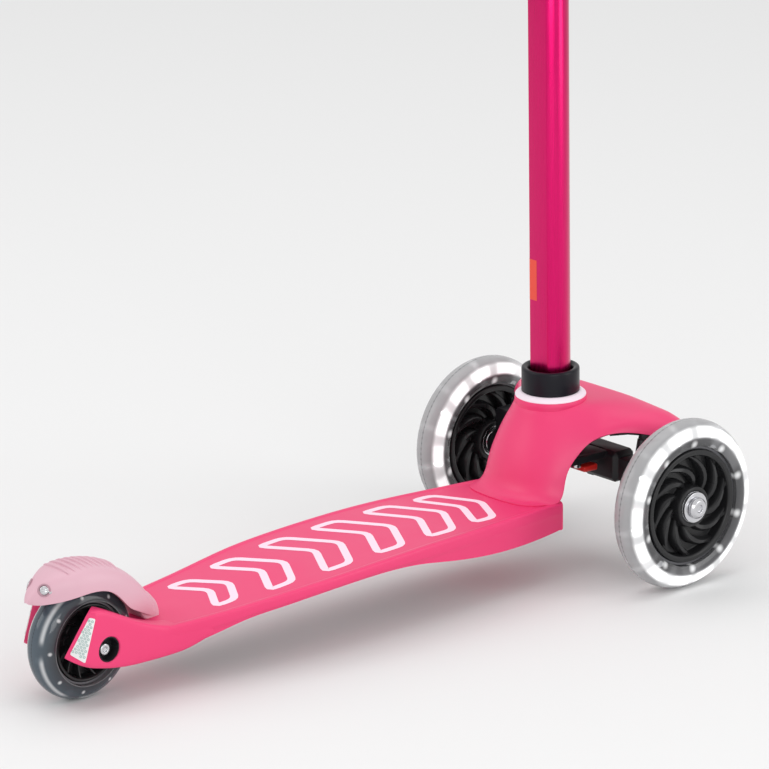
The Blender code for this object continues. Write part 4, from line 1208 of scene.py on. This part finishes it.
def buildSpring(name, node, spot, radius, wire, length, turns):
    # a round-wire coil along x that replaces the coarse one
    rows = []
    count = int(turns * 20)
    for i in range(count + 1):
        t = math.tau * turns * i / count
        out = Vector((math.cos(t), math.sin(t), 0))
        middle = out * radius + Vector((0, 0, length * i / count))
        rows.append([tuple(middle + out * c + Vector((0, 0, d))) for c, d in around(wire, 8)])
    bm = bmesh.new()
    addGrid(bm, rows, ringed=True, at=Matrix.Translation(spot) @ alongX, capped=True)
    return place(baked(meshFrom(name, bm, finish["steel"]), 60), "frame", node)


# the release lever's broad red paddle, reached from under the arch; it clears the carrier's screws
paddleShape = {"half": 31, "from": 191.6, "to": 204.6, "low": 70.2, "high": 75.0, "slope": 0.5}
paddleRear = [(paddleShape["from"], paddleShape["high"] - paddleShape["slope"]),
              (paddleShape["from"], paddleShape["low"] + paddleShape["slope"])]
paddleFront = [(paddleShape["to"], paddleShape["low"]), (paddleShape["to"], paddleShape["high"])]
paddle = extruded("leverPaddle", softened(paddleRear + paddleFront, 1.4), -paddleShape["half"], paddleShape["half"],
                  finish["red"])
edged(paddle, 0.8, 3, 50)
place(baked(paddle), "release_lever")

# a steering spring pushes on the carrier at its inner end
springShape = {"radius": 4.1, "wire": 0.6, "length": 22, "turns": 5}
rodLow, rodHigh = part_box("tie_rod")
rodMiddle = (rodLow + rodHigh) / 2
for name, node, start, fixed in (("leftSteerSpring", "left_steer_spring", -0.0266, -0.0046),
                                 ("rightSteerSpring", "right_steer_spring", 0.0046, 0.0046)):
    spring = buildSpring(name, node, (start, rodMiddle.y, rodMiddle.z), **springShape)
    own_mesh(spring)
buildSpring("brakeSpring", "brake_spring", (-0.0037, -0.174, 0.041), 3.4, 0.6, 7.4, 4)
buildSpring("latchSpring", "latch_spring", (0.0059, 0.213, 0.075), 3.3, 0.5, 2.2, 2)
print("running gear made")


# floor, light and camera

stageShape = {"floor": 14.0, "tint": (0.79, 0.79, 0.79, 1.0), "world": 0.84}

bm = bmesh.new()
bmesh.ops.create_grid(bm, x_segments=2, y_segments=2, size=stageShape["floor"])
floorData = bpy.data.meshes.new("floor")
bm.to_mesh(floorData)
bm.free()
floor = linked("floor", floorData)
floorPaint, tree, shader, where = startMaterial("floorFinish")
setSockets(tree, shader, Base_Color=stageShape["tint"], Roughness=0.9, Specular_IOR_Level=0.0)
floorData.materials.append(floorPaint)

world = bpy.data.worlds.new("studio")
world.use_nodes = True
backdrop = world.node_tree.nodes["Background"]
backdrop.inputs[0].default_value = (1.0, 1.0, 1.0, 1.0)
backdrop.inputs[1].default_value = stageShape["world"]
scene.world = world
scene.view_settings.view_transform = "Standard"


def addLight(name, spot, target, size, power):
    lamp = bpy.data.lights.new(name, "AREA")
    lamp.shape = "RECTANGLE"
    lamp.size, lamp.size_y = size
    lamp.energy = power
    thing = linked(name, lamp)
    thing.location = spot
    thing.rotation_euler = (Vector(target) - Vector(spot)).to_track_quat("-Z", "Y").to_euler()


# place, aim, width and height, power
lights = {
    "overhead": ((-0.4, 0.1, 2.6), (0, 0, 0), (2.4, 2.4), 15),
    "keySoft": ((-1.3, -2.0, 1.5), (0, 0.05, 0.1), (1.2, 1.4), 10),
    "sideSoft": ((2.0, -0.9, 0.7), (0, 0, 0.08), (1.0, 0.8), 9),
    "edge": ((1.9, 1.25, 0.8), (0, 0.19, 0.3), (0.8, 1.8), 11),
}
for name, values in lights.items():
    addLight(name, *values)

cameraShape = {"azimuth": 48.75, "elevation": 17.65, "distance": 4.0, "lens": 277.7, "about": (0, -0.008, 0.12),
               "aim": (0.0311, 0.0461)}
a, e = math.radians(cameraShape["azimuth"]), math.radians(cameraShape["elevation"])
back = Vector((math.sin(a) * math.cos(e), -math.cos(a) * math.cos(e), math.sin(e)))
right = Vector((math.cos(a), math.sin(a), 0))
up = back.cross(right)
about = Vector(cameraShape["about"])
aim = about + right * cameraShape["aim"][0] + up * cameraShape["aim"][1]
camera = linked("camera", bpy.data.cameras.new("camera"))
camera.data.lens = cameraShape["lens"]
camera.data.sensor_width = 36.0
camera.data.clip_end = 60.0
camera.location = about + back * cameraShape["distance"]
camera.rotation_euler = (aim - camera.location).to_track_quat("-Z", "Y").to_euler()
scene.camera = camera
print("stage made")
